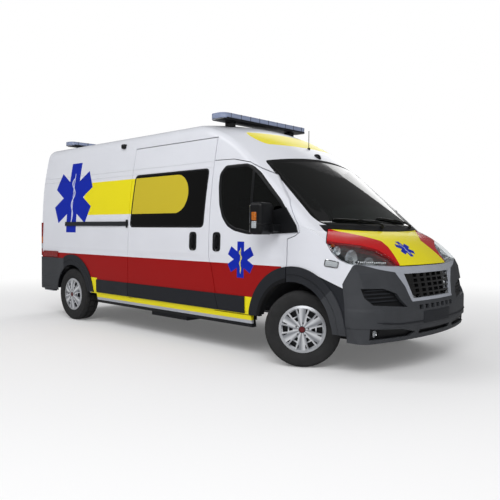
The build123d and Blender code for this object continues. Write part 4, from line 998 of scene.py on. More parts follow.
# %% [markdown]
# A piece is a mesh with its finish, and most fitted pieces are several shapes that one body
# carries, so a second function joins them. Smooth shading with sharp edges kept above 38 degrees
# looks rounded where a moulding is round and crisp where it is folded.

# %% Making and joining pieces
SHARP = math.radians(38)


def grid(rows, columns, ring=False, wrap=True):
    """Faces between rows of points; ring joins the last row to the first, wrap does it in each row."""
    faces = []
    for row in range(rows if ring else rows - 1):
        after = (row + 1) % rows
        for column in range(columns if wrap else columns - 1):
            other = (column + 1) % columns
            faces.append((row * columns + column, row * columns + other,
                          after * columns + other, after * columns + column))
    return faces


def new_piece(name, points, faces, material, smooth=True):
    """Object from points and faces, with its material."""
    mesh = bpy.data.meshes.new(name)
    mesh.from_pydata([tuple(point) for point in points], [], faces)
    mesh.validate()
    work = bmesh.new()
    work.from_mesh(mesh)
    bmesh.ops.recalc_face_normals(work, faces=work.faces)
    work.to_mesh(mesh)
    work.free()
    for face in mesh.polygons:
        face.use_smooth = smooth
    if smooth:
        mesh.set_sharp_from_angle(angle=SHARP)
    piece = bpy.data.objects.new(name, mesh)
    piece.data.materials.append(material)
    bpy.context.scene.collection.objects.link(piece)
    return piece


def joined(name, parts, body):
    """One piece out of several, riding on a body."""
    points, faces, materials, slots, smooths = [], [], [], [], []
    for part in parts:
        base, mesh = len(points), part.data
        points += [part.matrix_world @ vertex.co for vertex in mesh.vertices]
        if mesh.materials[0] not in materials:
            materials.append(mesh.materials[0])
        for face in mesh.polygons:
            faces.append([base + index for index in face.vertices])
            slots.append(materials.index(mesh.materials[0]))
            smooths.append(face.use_smooth)
    mesh = bpy.data.meshes.new(name)
    mesh.from_pydata(points, [], faces)
    for material in materials:
        mesh.materials.append(material)
    for face, index, smooth in zip(mesh.polygons, slots, smooths):
        face.material_index = index
        face.use_smooth = smooth
    mesh.set_sharp_from_angle(angle=SHARP)
    for part in parts:
        bpy.data.objects.remove(part)
    piece = bpy.data.objects.new(name, mesh)
    bpy.context.scene.collection.objects.link(piece)
    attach(piece, body)
    print(name, len(mesh.polygons), "faces on", body)
    return piece


# %% [markdown]
# Outlines are drawn flat, as a maker marks them on a panel: corners are rounded, and the straight
# runs get extra points so that the piece can follow the panel's curve.

# %% Outlines
def rounded_outline(points, radius, steps=5, spacing=0.04):
    """Closed outline with rounded corners and extra points along its straight runs."""
    result = []
    count = len(points)
    for index in range(count):
        before, corner, after = (Vector(points[(index + shift) % count]) for shift in (-1, 0, 1))
        one, two = (before - corner), (after - corner)
        cut = min(radius, one.length * 0.45, two.length * 0.45)
        start, stop = corner + one.normalized() * cut, corner + two.normalized() * cut
        for step in range(steps + 1):
            t = step / steps
            result.append(start * (1 - t) ** 2 + corner * 2 * t * (1 - t) + stop * t ** 2)
    dense = []
    for one, two in zip(result, result[1:] + result[:1]):
        parts = max(1, int((two - one).length / spacing))
        dense += [one.lerp(two, part / parts) for part in range(parts)]
    return dense


def rounded_box(low_u, low_v, high_u, high_v, radius, spacing=0.04):
    """Rounded outline of a rectangle."""
    corners = [(low_u, low_v), (high_u, low_v), (high_u, high_v), (low_u, high_v)]
    return rounded_outline(corners, radius, spacing=spacing)


def shifted(outline, amount, closed=True):
    """Outline moved to its left by an amount."""
    result = []
    count = len(outline)
    for index, point in enumerate(outline):
        before = outline[(index - 1) % count] if closed or index else point
        after = outline[(index + 1) % count] if closed or index < count - 1 else point
        run = (after - before).normalized()
        result.append(point + Vector((-run.y, run.x)) * amount)
    return result


# %% [markdown]
# Two shapes are laid on the body: a bead that follows an outline, such as a rubber seal, and a
# plate over an outline with soft edges, such as a handle's dish. Both find each of their points
# by a ray, so they follow the panel without a gap.

# %% Shapes laid on the body
def bead(name, outline, offsets, heights, cast, material, closed=True):
    """Bead along an outline: its profile is a row of sideways offsets with their heights."""
    rows = [shifted(outline, offset, closed) for offset in offsets]
    count, width = len(outline), len(offsets)
    points = [above(cast, *row[index], height)
              for index in range(count) for row, height in zip(rows, heights)]
    faces = grid(count, width, ring=closed)
    if not closed:
        faces.append(tuple(range(width)))
        faces.append(tuple((count - 1) * width + column for column in range(width))[::-1])
    return new_piece(name, points, faces, material)


def plate(name, outline, height, cast, material, soft=0.003, sink=0.0015, crown=0.0, rings=3):
    """Plate over an outline, with soft edges and an optional crown, laid on the surface."""
    centre = sum(outline, Vector((0, 0))) / len(outline)
    reach = min((point - centre).length for point in outline)
    levels = [(1.0, -sink), (1.0, height * 0.6), (1.0 - min(0.5, soft / reach), height)]
    inner = levels[-1][0]
    levels += [(inner * (1 - step / (rings + 1)), height + crown * (1 - (1 - step / (rings + 1)) ** 2))
               for step in range(1, rings + 1)]
    count = len(outline)
    points = [above(cast, *(centre + (point - centre) * scale), level)
              for scale, level in levels for point in outline]
    faces = grid(len(levels), count)
    points.append(above(cast, *centre, height + crown))
    last = len(points) - 1
    top = (len(levels) - 1) * count
    faces += [(top + index, top + (index + 1) % count, last) for index in range(count)]
    faces.append(tuple(range(count))[::-1])
    return new_piece(name, points, faces, material)


# %% [markdown]
# Three shapes stand free: a round bar along a path, a shape turned on a lathe and a block with
# rounded edges. Bars and turned parts could be curves, but meshes join and export without a step.

# %% Bars, turned shapes and blocks
def round_the(axis, other, turn):
    """Direction at an angle around, between two crossing axes."""
    return axis * math.cos(turn) + other * math.sin(turn)


def tube(name, path, radius, material, sides=10, closed=False):
    """Round bar along a path of points; radius is one value or one for each point."""
    path = [Vector(point) for point in path]
    radii = radius if isinstance(radius, (list, tuple)) else [radius] * len(path)
    points = []
    side_axis = None
    count = len(path)
    for index, point in enumerate(path):
        before = path[(index - 1) % count] if closed or index else point
        after = path[(index + 1) % count] if closed or index < count - 1 else point
        run = (after - before).normalized()
        if side_axis is None:
            side_axis = run.orthogonal().normalized()
        side_axis = (side_axis - run * side_axis.dot(run)).normalized()
        other = run.cross(side_axis)
        for step in range(sides):
            points.append(point + round_the(side_axis, other, 2 * math.pi * step / sides) * radii[index])
    faces = grid(count, sides, ring=closed)
    if not closed:
        faces.append(tuple(range(sides))[::-1])
        faces.append(tuple((count - 1) * sides + step for step in range(sides)))
    return new_piece(name, points, faces, material)


def turned(name, profile, centre, axis, material, steps=24):
    """Turned shape: profile of (radius, distance along the axis) about an axis through the centre."""
    axis = Vector(axis).normalized()
    side_axis = axis.orthogonal().normalized()
    other = axis.cross(side_axis)
    points = [Vector(centre) + axis * along
              + round_the(side_axis, other, 2 * math.pi * step / steps) * max(radius, 1e-5)
              for radius, along in profile for step in range(steps)]
    return new_piece(name, points, grid(len(profile), steps), material)


def soft_block(name, low, high, soft, material, turn=None, segments=3):
    """Block between two corners with rounded edges, turned about its centre if asked."""
    work = bmesh.new()
    bmesh.ops.create_cube(work, size=1.0)
    size = Vector(high) - Vector(low)
    centre = (Vector(high) + Vector(low)) / 2
    bmesh.ops.scale(work, vec=size, verts=work.verts)
    bmesh.ops.bevel(work, geom=work.edges[:] + work.verts[:], offset=soft, segments=segments,
                    affect="EDGES", profile=0.5)
    if turn is not None:
        bmesh.ops.rotate(work, cent=(0, 0, 0), matrix=turn, verts=work.verts)
    bmesh.ops.translate(work, vec=centre, verts=work.verts)
    points = [vertex.co.copy() for vertex in work.verts]
    faces = [[vertex.index for vertex in face.verts] for face in work.faces]
    work.free()
    return new_piece(name, points, faces, material)


# %% [markdown]
# Glass is held by black rubber, and a dark printed border hides the glue behind it. The bead is a
# low arch in section: it starts under the paint, rises and comes down on the glass.

# %% Window seals
FRONT_WINDOW = [(-0.030, 1.285), (-0.600, 1.255), (-0.800, 1.290), (-0.900, 1.335), (-0.980, 1.425),
                (-1.030, 1.550), (-1.060, 1.750), (-1.060, 1.870), (-0.990, 1.945), (-0.680, 1.945),
                (-0.600, 1.915), (-0.500, 1.845), (-0.350, 1.705), (-0.200, 1.565), (-0.050, 1.385)]
SIDE_WINDOW = [(-2.640, 1.315), (-1.290, 1.315), (-1.260, 1.940), (-2.600, 1.940)]
REAR_WINDOW = [(0.110, 1.330), (0.690, 1.330), (0.650, 1.960), (0.110, 1.960)]
SEAL = ((-0.013, -0.010, -0.003, 0.004, 0.012), (-0.002, 0.002, 0.0035, 0.002, -0.002))
WIDE_SEAL = ((-0.020, -0.016, -0.004, 0.014, 0.022), (-0.002, 0.002, 0.0035, 0.002, -0.002))

for side, side_name in SIDES:
    door = "front_door_" + side_name
    cast = side_caster(side, door, "front_window_" + side_name)
    outline = rounded_outline(FRONT_WINDOW, 0.03)
    parts = [bead("seal", outline, *WIDE_SEAL, cast, black_plastic)]
    bar = [Vector((-0.577, 1.262 + 0.06 * step)) for step in range(11)]
    bar.append(Vector((-0.577, 1.895)))
    parts.append(bead("bar", bar, (-0.019, -0.016, 0.016, 0.019), (-0.002, 0.003, 0.003, -0.002), cast,
                      black_plastic, closed=False))
    joined("door_window_seal_" + side_name, parts, door)

    owner = "sliding_door" if side < 0 else "side_panel_left"
    cast = side_caster(side, owner, "side_windows")
    parts = [bead("seal", rounded_outline(SIDE_WINDOW, 0.05), *SEAL, cast, black_plastic)]
    joined("side_window_seal_" + side_name, parts, "body")

    owner = "rear_door_" + side_name
    cast = rear_caster(owner, "rear_window_" + side_name)
    outline = rounded_outline([(side * y, z) for y, z in REAR_WINDOW], 0.045)
    parts = [bead("seal", outline, *SEAL, cast, black_plastic)]
    joined("rear_window_seal_" + side_name, parts, owner)

# %% [markdown]
# The windscreen's border is wide and flat at the top and follows the crowned header. It sits on
# the glass, so it hides the glue line and the roof lining from outside.

# %% Windscreen border
def screen_outline():
    """Windscreen seen from ahead, with the crown of its top edge."""
    top = [(0.795 - 1.59 * step / 12, 0) for step in range(13)]
    crown = [(y, 1.995 + 0.065 * (1 - (y / 0.795) ** 2)) for y, _ in top]
    return rounded_outline([*crown, (-0.885, 1.335), (0.885, 1.335)], 0.06)


screen = front_caster("windscreen")
border = bead("border", screen_outline(), (-0.001, 0.000, 0.034, 0.036), (-0.002, 0.0012, 0.0012, -0.001),
              screen, gloss_black)
joined("windscreen_border", [border], "body")

# %% [markdown]
# Two wipers rest at the foot of the screen. Each blade is a rubber under a sprung spine, laid along
# the glass by rays, and its arm rises over the cowl from a hub.

# %% Wipers
BLADE_LIFT = 0.011
glassy = front_caster("windscreen", "cowl")
for name, pivot, blade in (("left", (0.60, 1.318), ((0.64, 1.372), (0.30, 1.383), (-0.02, 1.408))),
                           ("right", (-0.08, 1.318), ((-0.06, 1.372), (-0.36, 1.376), (-0.68, 1.384)))):
    row = [glassy(blade[0][0] + (blade[2][0] - blade[0][0]) * step / 8,
                  blade[0][1] + (blade[2][1] - blade[0][1]) * (step / 8) ** 1.4) for step in range(9)]
    rubber = tube("rubber", [hit + normal * 0.005 for hit, normal in row], 0.004, black_plastic, 6)
    spine = tube("spine", [hit + normal * (BLADE_LIFT + 0.004) for hit, normal in row],
                 [0.004] + [0.007] * 7 + [0.004], black_plastic, 8)
    foot, foot_normal = glassy(*pivot)
    middle, normal = row[4]
    arm = tube("arm", [foot + foot_normal * 0.012, foot + foot_normal * 0.032,
                       foot.lerp(middle, 0.5) + normal * 0.036, middle + normal * (BLADE_LIFT + 0.010)],
               [0.012, 0.010, 0.007, 0.006], black_plastic, 8)
    hub = turned("hub", [(0, 0.030), (0.014, 0.028), (0.018, 0.020), (0.020, -0.004), (0, -0.004)], foot,
                 foot_normal, black_plastic, 16)
    joined("wiper_" + name, [rubber, spine, arm, hub], "body")

# %% [markdown]
# Door handles are black plates with a deep finger recess and a grip across it. The recess could be
# cut, but a darker inner plate stands in for it as painted shade, and a grip bowed out from both ends
# gives the hand room.

# %% Door handles
def handle(cast, centre_u, centre_v, width, height):
    """Parts of a door handle on a surface."""
    def dish(half_width, half_height, radius):
        return rounded_box(centre_u - half_width, centre_v - half_height,
                           centre_u + half_width, centre_v + half_height, radius, 0.02)

    outline = dish(width / 2, height / 2, 0.045)
    parts = [plate("plate", outline, 0.007, cast, black_plastic, soft=0.006)]
    # A darker, glossy plate with a slight dip stands where the finger recess is: painted shade for the
    # recess.
    recess_shade = dish(width * 0.31, height * 0.36, 0.03)
    parts.append(plate("recess_shade", recess_shade, 0.0078, cast, gloss_black, soft=0.004, crown=-0.003))
    reach = height * 0.36
    path = []
    for step in range(9):
        t = step / 4 - 1
        path.append(above(cast, centre_u, centre_v + t * reach, 0.010 + 0.022 * (1 - t ** 4)))
    parts.append(tube("grip", path, [0.010] + [0.012] * 7 + [0.010], black_plastic, 10))
    hit, normal = cast(centre_u, centre_v - height * 0.43)
    parts.append(turned("lock", [(0, 0.011), (0.008, 0.010), (0.009, 0.004), (0, 0.004)], hit, normal,
                        chrome, 14))
    return parts


HANDLE_Z, HANDLE_SIZE = 1.155, (0.118, 0.205)
for side, side_name in SIDES:
    door = "front_door_" + side_name
    parts = handle(side_caster(side, door), -1.062, HANDLE_Z, *HANDLE_SIZE)
    joined("door_handle_" + side_name, parts, door)
parts = handle(side_caster(-1, "sliding_door"), -1.445, HANDLE_Z, *HANDLE_SIZE)
joined("sliding_door_handle", parts, "body")
parts = handle(rear_caster("rear_door_right"), -0.105, 1.06, 0.10, 0.19)
joined("rear_door_handle", parts, "rear_door_right")

# %% [markdown]
# The repeater on the wing is a clear lens in a bright frame, and the flap on the left covers the
# fuel filler. Both are plates laid on the panel.

# %% Wing repeaters and fuel flap
for side, side_name in SIDES:
    cast = side_caster(side, "front_wings")
    frame_line = [(0.350, 0.962), (0.505, 0.948), (0.520, 1.012), (0.362, 1.028)]
    parts = [plate("frame", rounded_outline(frame_line, 0.02, spacing=0.02), 0.006, cast, chrome)]
    lens_line = [(0.364, 0.971), (0.496, 0.958), (0.508, 1.004), (0.374, 1.019)]
    parts.append(plate("lens", rounded_outline(lens_line, 0.015, spacing=0.02), 0.009, cast, clear_lens,
                       crown=0.003))
    joined("wing_lamp_" + side_name, parts, "body")

cast = side_caster(1, "side_panel_left")
flap = rounded_box(-1.42, 0.86, -1.25, 1.03, 0.02, 0.03)
parts = [bead("gap", flap, (-0.0025, -0.002, 0.002, 0.0025), (-0.001, 0.0006, 0.0006, -0.001), cast,
              gloss_black), plate("flap", shifted(flap, 0.003), 0.0016, cast, plain_paint, soft=0.002)]
joined("fuel_flap", parts, "body")

# %% [markdown]
# Number plates sit in plastic holders and stay blank. The rear one has two small lamps above it.

# %% Number plate holders
bumper = front_caster("front_bumper")
blank = rounded_box(-0.26, 0.44, 0.26, 0.55, 0.008)
joined("front_plate_holder", [plate("plate", blank, 0.006, bumper, trim_plastic, soft=0.004)], "body")
rear = rear_caster("rear_door_left")
holder = rounded_box(0.13, 0.86, 0.67, 1.03, 0.012)
blank = rounded_box(0.14, 0.87, 0.66, 0.98, 0.008)
parts = [plate("holder", holder, 0.006, rear, trim_plastic, soft=0.004),
         plate("blank", blank, 0.008, rear, plain_paint, soft=0.002)]
for y in (0.30, 0.50):
    spot = rounded_box(y - 0.035, 0.992, y + 0.035, 1.012, 0.006, 0.02)
    parts.append(plate("lamp", spot, 0.016, rear, clear_lens))
joined("rear_plate_holder", parts, "rear_door_left")

# %% [markdown]
# A headlamp is a box behind its clear cover: a dark tray, three bright bowls aimed forward and a
# row of small lights along the lower edge. The tray could be drawn by hand, but the cover's own
# front skin moved inwards follows the bonnet line by itself.

# %% Tray of a headlamp
LAMP_SKIN_ABOVE = 0.9


def skin_tray(name, side, depth, thick, material):
    """Tray behind one headlamp cover, from the cover's outer faces moved inwards."""
    mesh = nodes["headlamps"].data
    middle = Vector((at_x(0.10), side * 0.55, 0.90))
    keep = []
    for face in mesh.polygons:
        outward = face.normal.dot((face.center - middle).normalized()) > 0.45
        if face.center.y * side > 0 and face.center.z > LAMP_SKIN_ABOVE and outward:
            keep.append(face)
    points, faces, seen, normals = [], [], {}, {}
    for face in keep:
        for index in face.vertices:
            key = tuple(round(c, 4) for c in mesh.vertices[index].co)
            normals[key] = normals.get(key, Vector()) + face.normal
    for face in keep:
        row = []
        for index in face.vertices:
            key = tuple(round(c, 4) for c in mesh.vertices[index].co)
            if key not in seen:
                seen[key] = len(points)
                points.append(mesh.vertices[index].co - normals[key].normalized() * depth)
            row.append(seen[key])
        if len(set(row)) > 2:
            faces.append(row)
    tray = new_piece(name, points, faces, material)
    thickness = tray.modifiers.new("thick", "SOLIDIFY")
    thickness.thickness = thick
    depsgraph = bpy.context.evaluated_depsgraph_get()
    solid = bpy.data.meshes.new_from_object(tray.evaluated_get(depsgraph))
    tray.modifiers.clear()
    tray.data = solid
    return tray


# %% [markdown]
# A reflector bowl is a turned dish with a bright bezel around it and a shield over its bulb. The
# row of small lights follows the cover's lower edge, found by raising a ray until it meets glass.

# %% Bowls and the row of lights
COVER = 0.029
BOWLS = ((0.478, 0.945, 0.034), (0.580, 0.845, 0.062), (0.690, 0.720, 0.058))
BOWL_DEPTH = 0.55


def bowl(centre, radius, aim):
    """Reflector bowl with its bulb shield, open towards its aim."""
    deep = radius * BOWL_DEPTH
    inside = [(radius * (step / 8), deep * (step / 8) ** 2 - deep) for step in range(9)]
    rim = [(radius + 0.002, 0.0), (radius + 0.002, -0.006)]
    back = [(r + 0.002, along - 0.003) for r, along in inside[::-1]]
    dish = turned("bowl", inside + rim + back, centre, aim, reflector, 28)
    bezel = turned("bezel", [(radius * 1.02, 0.0), (radius * 1.06, 0.004), (radius * 1.22, -0.004),
                             (radius * 1.26, -0.016), (radius * 1.02, -0.016)], centre, aim, lamp_silver,
                   28)
    bulb = turned("bulb", [(0, -radius * 0.5), (radius * 0.2, -radius * 0.5),
                           (radius * 0.2, -radius * 0.15), (radius * 0.12, -radius * 0.04),
                           (0, -radius * 0.02)], centre, aim, clear_lens, 14)
    return [dish, bezel, bulb]


def lamp_foot(found, y):
    """Outer skin of a headlamp a little above its lower edge, and the normal there."""
    for step in range(60):
        z = 0.90 + 0.004 * step
        if found.ray_cast(Vector((3.6, y, z)), Vector((-1, 0, 0)))[0] is not None:
            hit, normal, _, _ = found.ray_cast(Vector((3.6, y, z + 0.024)), Vector((-1, 0, 0)))
            if hit is not None:
                return hit, normal if normal.x > 0 else -normal
    hit, normal, _, _ = found.find_nearest(Vector((at_x(0.85), y, 0.98)))
    return hit, normal


# %% [markdown]
# With the tray, the bowls and the lights ready, each lamp is filled from the back: tray first, the
# bowls at their places behind the cover, the row of lights along its foot and an amber marker.

# %% Inside the headlamps
lamp_top = top_caster("headlamps")
lamp_skin = tree_of("headlamps")
for side, side_name in SIDES:
    parts = [skin_tray("tray", side, COVER + 0.095, 0.003, black_plastic)]
    for x, y, radius in BOWLS:
        hit, normal = lamp_top(x, side * y)
        aim = Vector((1.0, side * 0.12, 0.02)).normalized()
        centre = hit - normal * (COVER + radius * 0.80)
        parts += bowl(centre, radius, aim)
    row = []
    for step in range(17):
        hit, normal = lamp_foot(lamp_skin, side * (0.900 - 0.340 * step / 16))
        row.append(hit - Vector((COVER + 0.012, 0, 0)))
    parts.append(tube("strip", row, 0.008, black_plastic, 8))
    for point in row[1:-1]:
        parts.append(turned("led", [(0, 0.013), (0.0055, 0.0115), (0.0075, 0.004), (0, 0.004)], point,
                            (1, 0, 0.2), led_white, 10))
    hit, normal = lamp_top(0.425, side * 0.955)
    parts.append(turned("marker", [(0, 0.0), (0.014, -0.002), (0.020, -0.016), (0, -0.018)],
                        hit - normal * (COVER + 0.004), (1, side * 0.4, 0.2), amber_lens, 16))
    joined("headlamp_inside_" + side_name, parts, "body")

# %% [markdown]
# The wing mirror is a grained housing with a cap line, a turn lamp at its outer edge and two
# glasses facing back: a flat one above, a wide-angle one below.

# %% Mirrors
for side, side_name in SIDES:
    low, high = (Vector(corner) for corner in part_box("mirror_" + side_name))
    outer = high.y if side > 0 else low.y
    inner_y = outer - side * 0.192
    back = at_x(-0.36)
    parts = []
    for z0, z1 in ((1.345, 1.520), (1.262, 1.332)):
        y0, y1 = sorted((outer - side * 0.020, inner_y + side * 0.020))
        parts.append(soft_block("glass", (back - 0.003, y0, z0), (back + 0.004, y1, z1), 0.0030, chrome))
    y0, y1 = sorted((outer - side * 0.004, inner_y + side * 0.010))
    parts.append(soft_block("line", (back + 0.02, y0 - 0.006, 1.334),
                            (at_x(-0.20) + 0.002, y1 + 0.006, 1.341), 0.0025, gloss_black))
    y0, y1 = sorted((outer - side * 0.006, outer + side * 0.0045))
    parts.append(soft_block("lamp", (at_x(-0.315), y0, 1.372), (at_x(-0.255), y1, 1.452), 0.004,
                            amber_lens))
    parts.append(soft_block("clear", (at_x(-0.315), y0, 1.300), (at_x(-0.255), y1, 1.366), 0.004,
                            clear_lens))
    joined("mirror_parts_" + side_name, parts, "front_door_" + side_name)

# %% [markdown]
# The bumper is one grained moulding. Its upper vents hold slats, the round fog lamps have bright
# rims, and a lip closes the low intake. The slats follow the vent's back wall, found by rays.

# %% Bumper details
SLATS = ((0.760, 0.690, 0.925), (0.728, 0.640, 0.930), (0.696, 0.600, 0.925), (0.664, 0.570, 0.910))
bumper = front_caster("front_bumper", "bumper_liners")
for side, side_name in SIDES:
    parts = []
    for level, inner, outer in SLATS:
        row = [above(bumper, side * (inner + (outer - inner) * step / 6), level, 0.006)
               for step in range(7)]
        parts.append(tube("slat", row, [0.003] + [0.0075] * 5 + [0.003], trim_plastic, 8))
    centre = Vector((at_x(0.772), side * 0.84, 0.388))
    parts.append(turned("rim", [(0.026, 0.002), (0.029, 0.008), (0.036, 0.007), (0.038, -0.004),
                                (0.026, -0.004)], centre, (1, 0, 0), chrome, 28))
    parts.append(turned("lens", [(0, 0.006), (0.014, 0.005), (0.026, 0.001), (0.026, -0.002),
                                 (0, -0.002)], centre, (1, 0, 0), clear_lens, 24))
    joined("bumper_details_" + side_name, parts, "body")

nose = front_caster("front_bumper")
LIP_Z, LIP_HALF = 0.462, 0.86
row = []
for step in range(31):
    y = LIP_HALF * (step / 15 - 1)
    row.append(above(nose, y, LIP_Z + max(abs(y) - 0.6, 0.0) * 0.10, 0.001))
lip = tube("lip", row, [0.002] + [0.007] * 29 + [0.002], trim_plastic, 8)
joined("bumper_lip", [lip], "body")

# %% [markdown]
# A bright edge runs around the grille. It is a bead like a window seal, plated instead of rubber,
# and it hides the joint between the grille's frame and the bumper.

# %% Grille edge
surround = front_caster("grille_surround", "front_bumper")
outline = rounded_outline([(-0.440, 0.895), (0.440, 0.895), (0.362, 0.672), (-0.362, 0.672)], 0.03,
                          spacing=0.05)
edge = bead("edge", outline, (0.002, -0.002, -0.012, -0.014), (-0.004, 0.004, 0.003, -0.002), surround,
            chrome)
joined("grille_details", [edge], "body")

# %% [markdown]
# A light bar is a row of lens cells between two end caps on a black base. The solid is the bar's
# body; the base, the caps and the ribs between the cells are fitted around it.

# %% Light bar details
BARS = (("front", 0.689, 0.240, 0.062), ("rear", -2.569, 0.200, 0.055))
BAR_HALF, BAR_BASE = 0.745, 2.528
for name, centre, depth, height in BARS:
    half, base = BAR_HALF, BAR_BASE
    top = base + height + 0.002
    rear_x, front_x = centre - depth / 2 - 0.002, centre + depth / 2 + 0.002
    low = (centre - depth / 2 - 0.003, -half + 0.055, base - 0.004)
    high = (centre + depth / 2 + 0.003, half - 0.055, base + 0.014)
    parts = [soft_block("base", low, high, 0.006, black_plastic)]
    for side in (-1, 1):
        y0, y1 = sorted((side * (half - 0.125), side * (half - 0.118)))
        parts.append(soft_block("cap", (rear_x, y0, base), (front_x, y1, top), 0.002, black_plastic))
    for step in range(-3, 4):
        y = step * 0.155
        parts.append(soft_block("rib", (rear_x, y - 0.004, base), (front_x, y + 0.004, top), 0.002,
                                black_plastic))
    joined("light_bar_details_" + name, parts, "body")

# %% [markdown]
# The wheel covers and tyres turn, so what is fitted to them rides on the wheel. A tyre in service
# has a round shoulder and two grooves around the tread; its blocks come from the rubber's height.

# %% Tyres
TYRE_HALF = [(0.2055, 0.076), (0.232, 0.098), (0.290, 0.1125), (0.338, 0.107), (0.356, 0.088),
             (0.360, 0.046), (0.352, 0.044), (0.352, 0.034), (0.360, 0.032)]
TYRE_STEPS = 44
BOLT_CIRCLE = 0.060


def wheel_place(side, end):
    """Function that puts a point of an upright wheel at the origin on its axle, turned as it stands."""
    steered = end == "front"
    half_track = FRONT_HALF_TRACK if steered else REAR_HALF_TRACK
    centre = Vector((AXLE_X if steered else REAR_AXLE_X, side * half_track, AXLE_Z))
    pin = Vector((AXLE_X, side * KINGPIN_Y, AXLE_Z))
    turn = Matrix.Rotation(STEER_ANGLE, 3, "Z")

    def put(point):
        point = Vector(point) + centre
        return pin + turn @ (point - pin) if steered else point
    return put


for side, side_name in SIDES:
    for end in ("front", "rear"):
        put = wheel_place(side, end)
        profile = TYRE_HALF + [(radius, -y) for radius, y in TYRE_HALF[::-1]]
        points = []
        for step in range(TYRE_STEPS):
            turn = 2 * math.pi * step / TYRE_STEPS
            points += [put((radius * math.cos(turn), y, radius * math.sin(turn))) for radius,
                       y in profile]
        faces = grid(TYRE_STEPS, len(profile), ring=True, wrap=False)
        wheel = f"{end}_{side_name}"
        tyre = new_piece("tyre_shape_" + wheel, points, faces, finishes["tyre_" + wheel])
        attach(tyre, "wheel_" + wheel)
        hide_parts("tyre_" + wheel)
        stem = [put((0.185 * math.cos(0.3), side * y, 0.185 * math.sin(0.3)))
                for y in (0.080, 0.108, 0.128)]
        parts = [tube("valve", stem, [0.005, 0.004, 0.0035], black_plastic, 8)]
        for index in range(5):
            turn = 2 * math.pi * index / 5 + 0.2
            x, z = BOLT_CIRCLE * math.cos(turn), BOLT_CIRCLE * math.sin(turn)
            root, tip = put((x, side * 0.110, z)), put((x, side * 0.123, z))
            parts.append(turned("bolt", [(0, 0.0125), (0.006, 0.012), (0.009, 0.009), (0.010, 0), (0, 0)],
                                root, tip - root, cast_metal, 6))
        joined("wheel_fittings_" + wheel, parts, "wheel_" + wheel)

# %% [markdown]
# Seats are foam under woven cloth. Each pad starts as a slightly small block, is remeshed and blown
# up as cloth under pressure, which rounds its faces and draws in its edges as foam does. Seams are
# pressed in afterwards, because remeshing would lose them.

# %% Swelling a pad
VOXEL = 0.011
SWELL = 0.022
CLOTH_STEPS = 20


def swollen(piece):
    """The piece's mesh remeshed and swollen as cloth under pressure, within a cap."""
    remesh = piece.modifiers.new("remesh", "REMESH")
    remesh.mode = "VOXEL"
    remesh.voxel_size = VOXEL
    depsgraph = bpy.context.evaluated_depsgraph_get()
    mesh = bpy.data.meshes.new_from_object(piece.evaluated_get(depsgraph))
    piece.modifiers.clear()
    piece.data = mesh
    start = [vertex.co.copy() for vertex in mesh.vertices]
    cloth_modifier = piece.modifiers.new("cloth", "CLOTH")
    cloth_modifier.settings.use_pressure = True
    cloth_modifier.settings.uniform_pressure_force = 4
    cloth_modifier.settings.effector_weights.gravity = 0
    scene = bpy.context.scene
    for step in range(1, CLOTH_STEPS + 1):
        scene.frame_set(step)
    depsgraph = bpy.context.evaluated_depsgraph_get()
    blown = piece.evaluated_get(depsgraph).to_mesh()
    for vertex, end, first in zip(mesh.vertices, blown.vertices, start):
        move = end.co - first
        vertex.co = first + move * min(1.0, SWELL / max(move.length, 1e-6))
    piece.evaluated_get(depsgraph).to_mesh_clear()
    piece.modifiers.clear()
    scene.frame_set(1)
    finer = piece.modifiers.new("finer", "SUBSURF")
    finer.levels = 1
    depsgraph = bpy.context.evaluated_depsgraph_get()
    mesh = bpy.data.meshes.new_from_object(piece.evaluated_get(depsgraph))
    piece.modifiers.clear()
    piece.data = mesh
    for face in mesh.polygons:
        face.use_smooth = True
    return piece


# %% [markdown]
# A swollen block becomes a pad when its seams are pressed in, it is kept inside the space that the
# seat leaves it, and it is turned to its place.

# %% A finished pad
SEAM_DEPTH, SEAM_WIDTH = 0.007, 0.008


def pad(name, half, soft, turn, centre, seams, limits):
    """Padded piece about a centre: half sizes, edge radius, turn, seams and the space it may fill."""
    piece = soft_block(name, -Vector(half), Vector(half), soft, seat_cloth)
    piece = swollen(piece)
    mesh = piece.data
    normals = [vertex.normal.copy() for vertex in mesh.vertices]
    for vertex, normal in zip(mesh.vertices, normals):
        co = vertex.co
        for axis, place_at, facing_axis in seams:
            if abs(normal[facing_axis]) > 0.5:
                gap = (co[axis] - place_at) / SEAM_WIDTH
                vertex.co = co - normal * SEAM_DEPTH * math.exp(-gap * gap)
        for axis in range(3):
            low, high = limits[axis]
            vertex.co[axis] = min(max(vertex.co[axis], low), high)
    mesh.transform(Matrix.Translation(centre) @ turn.to_4x4())
    mesh.materials.clear()
    mesh.materials.append(seat_cloth)
    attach(piece, "body")
    print(name, len(mesh.polygons), "faces")
    return piece


# %% [markdown]
# The driver's seat and the passenger's are alike: a cushion, a leaning back and a head rest on two
# posts, with a belt buckle beside the cushion. The two cushions stand for the solid seats.

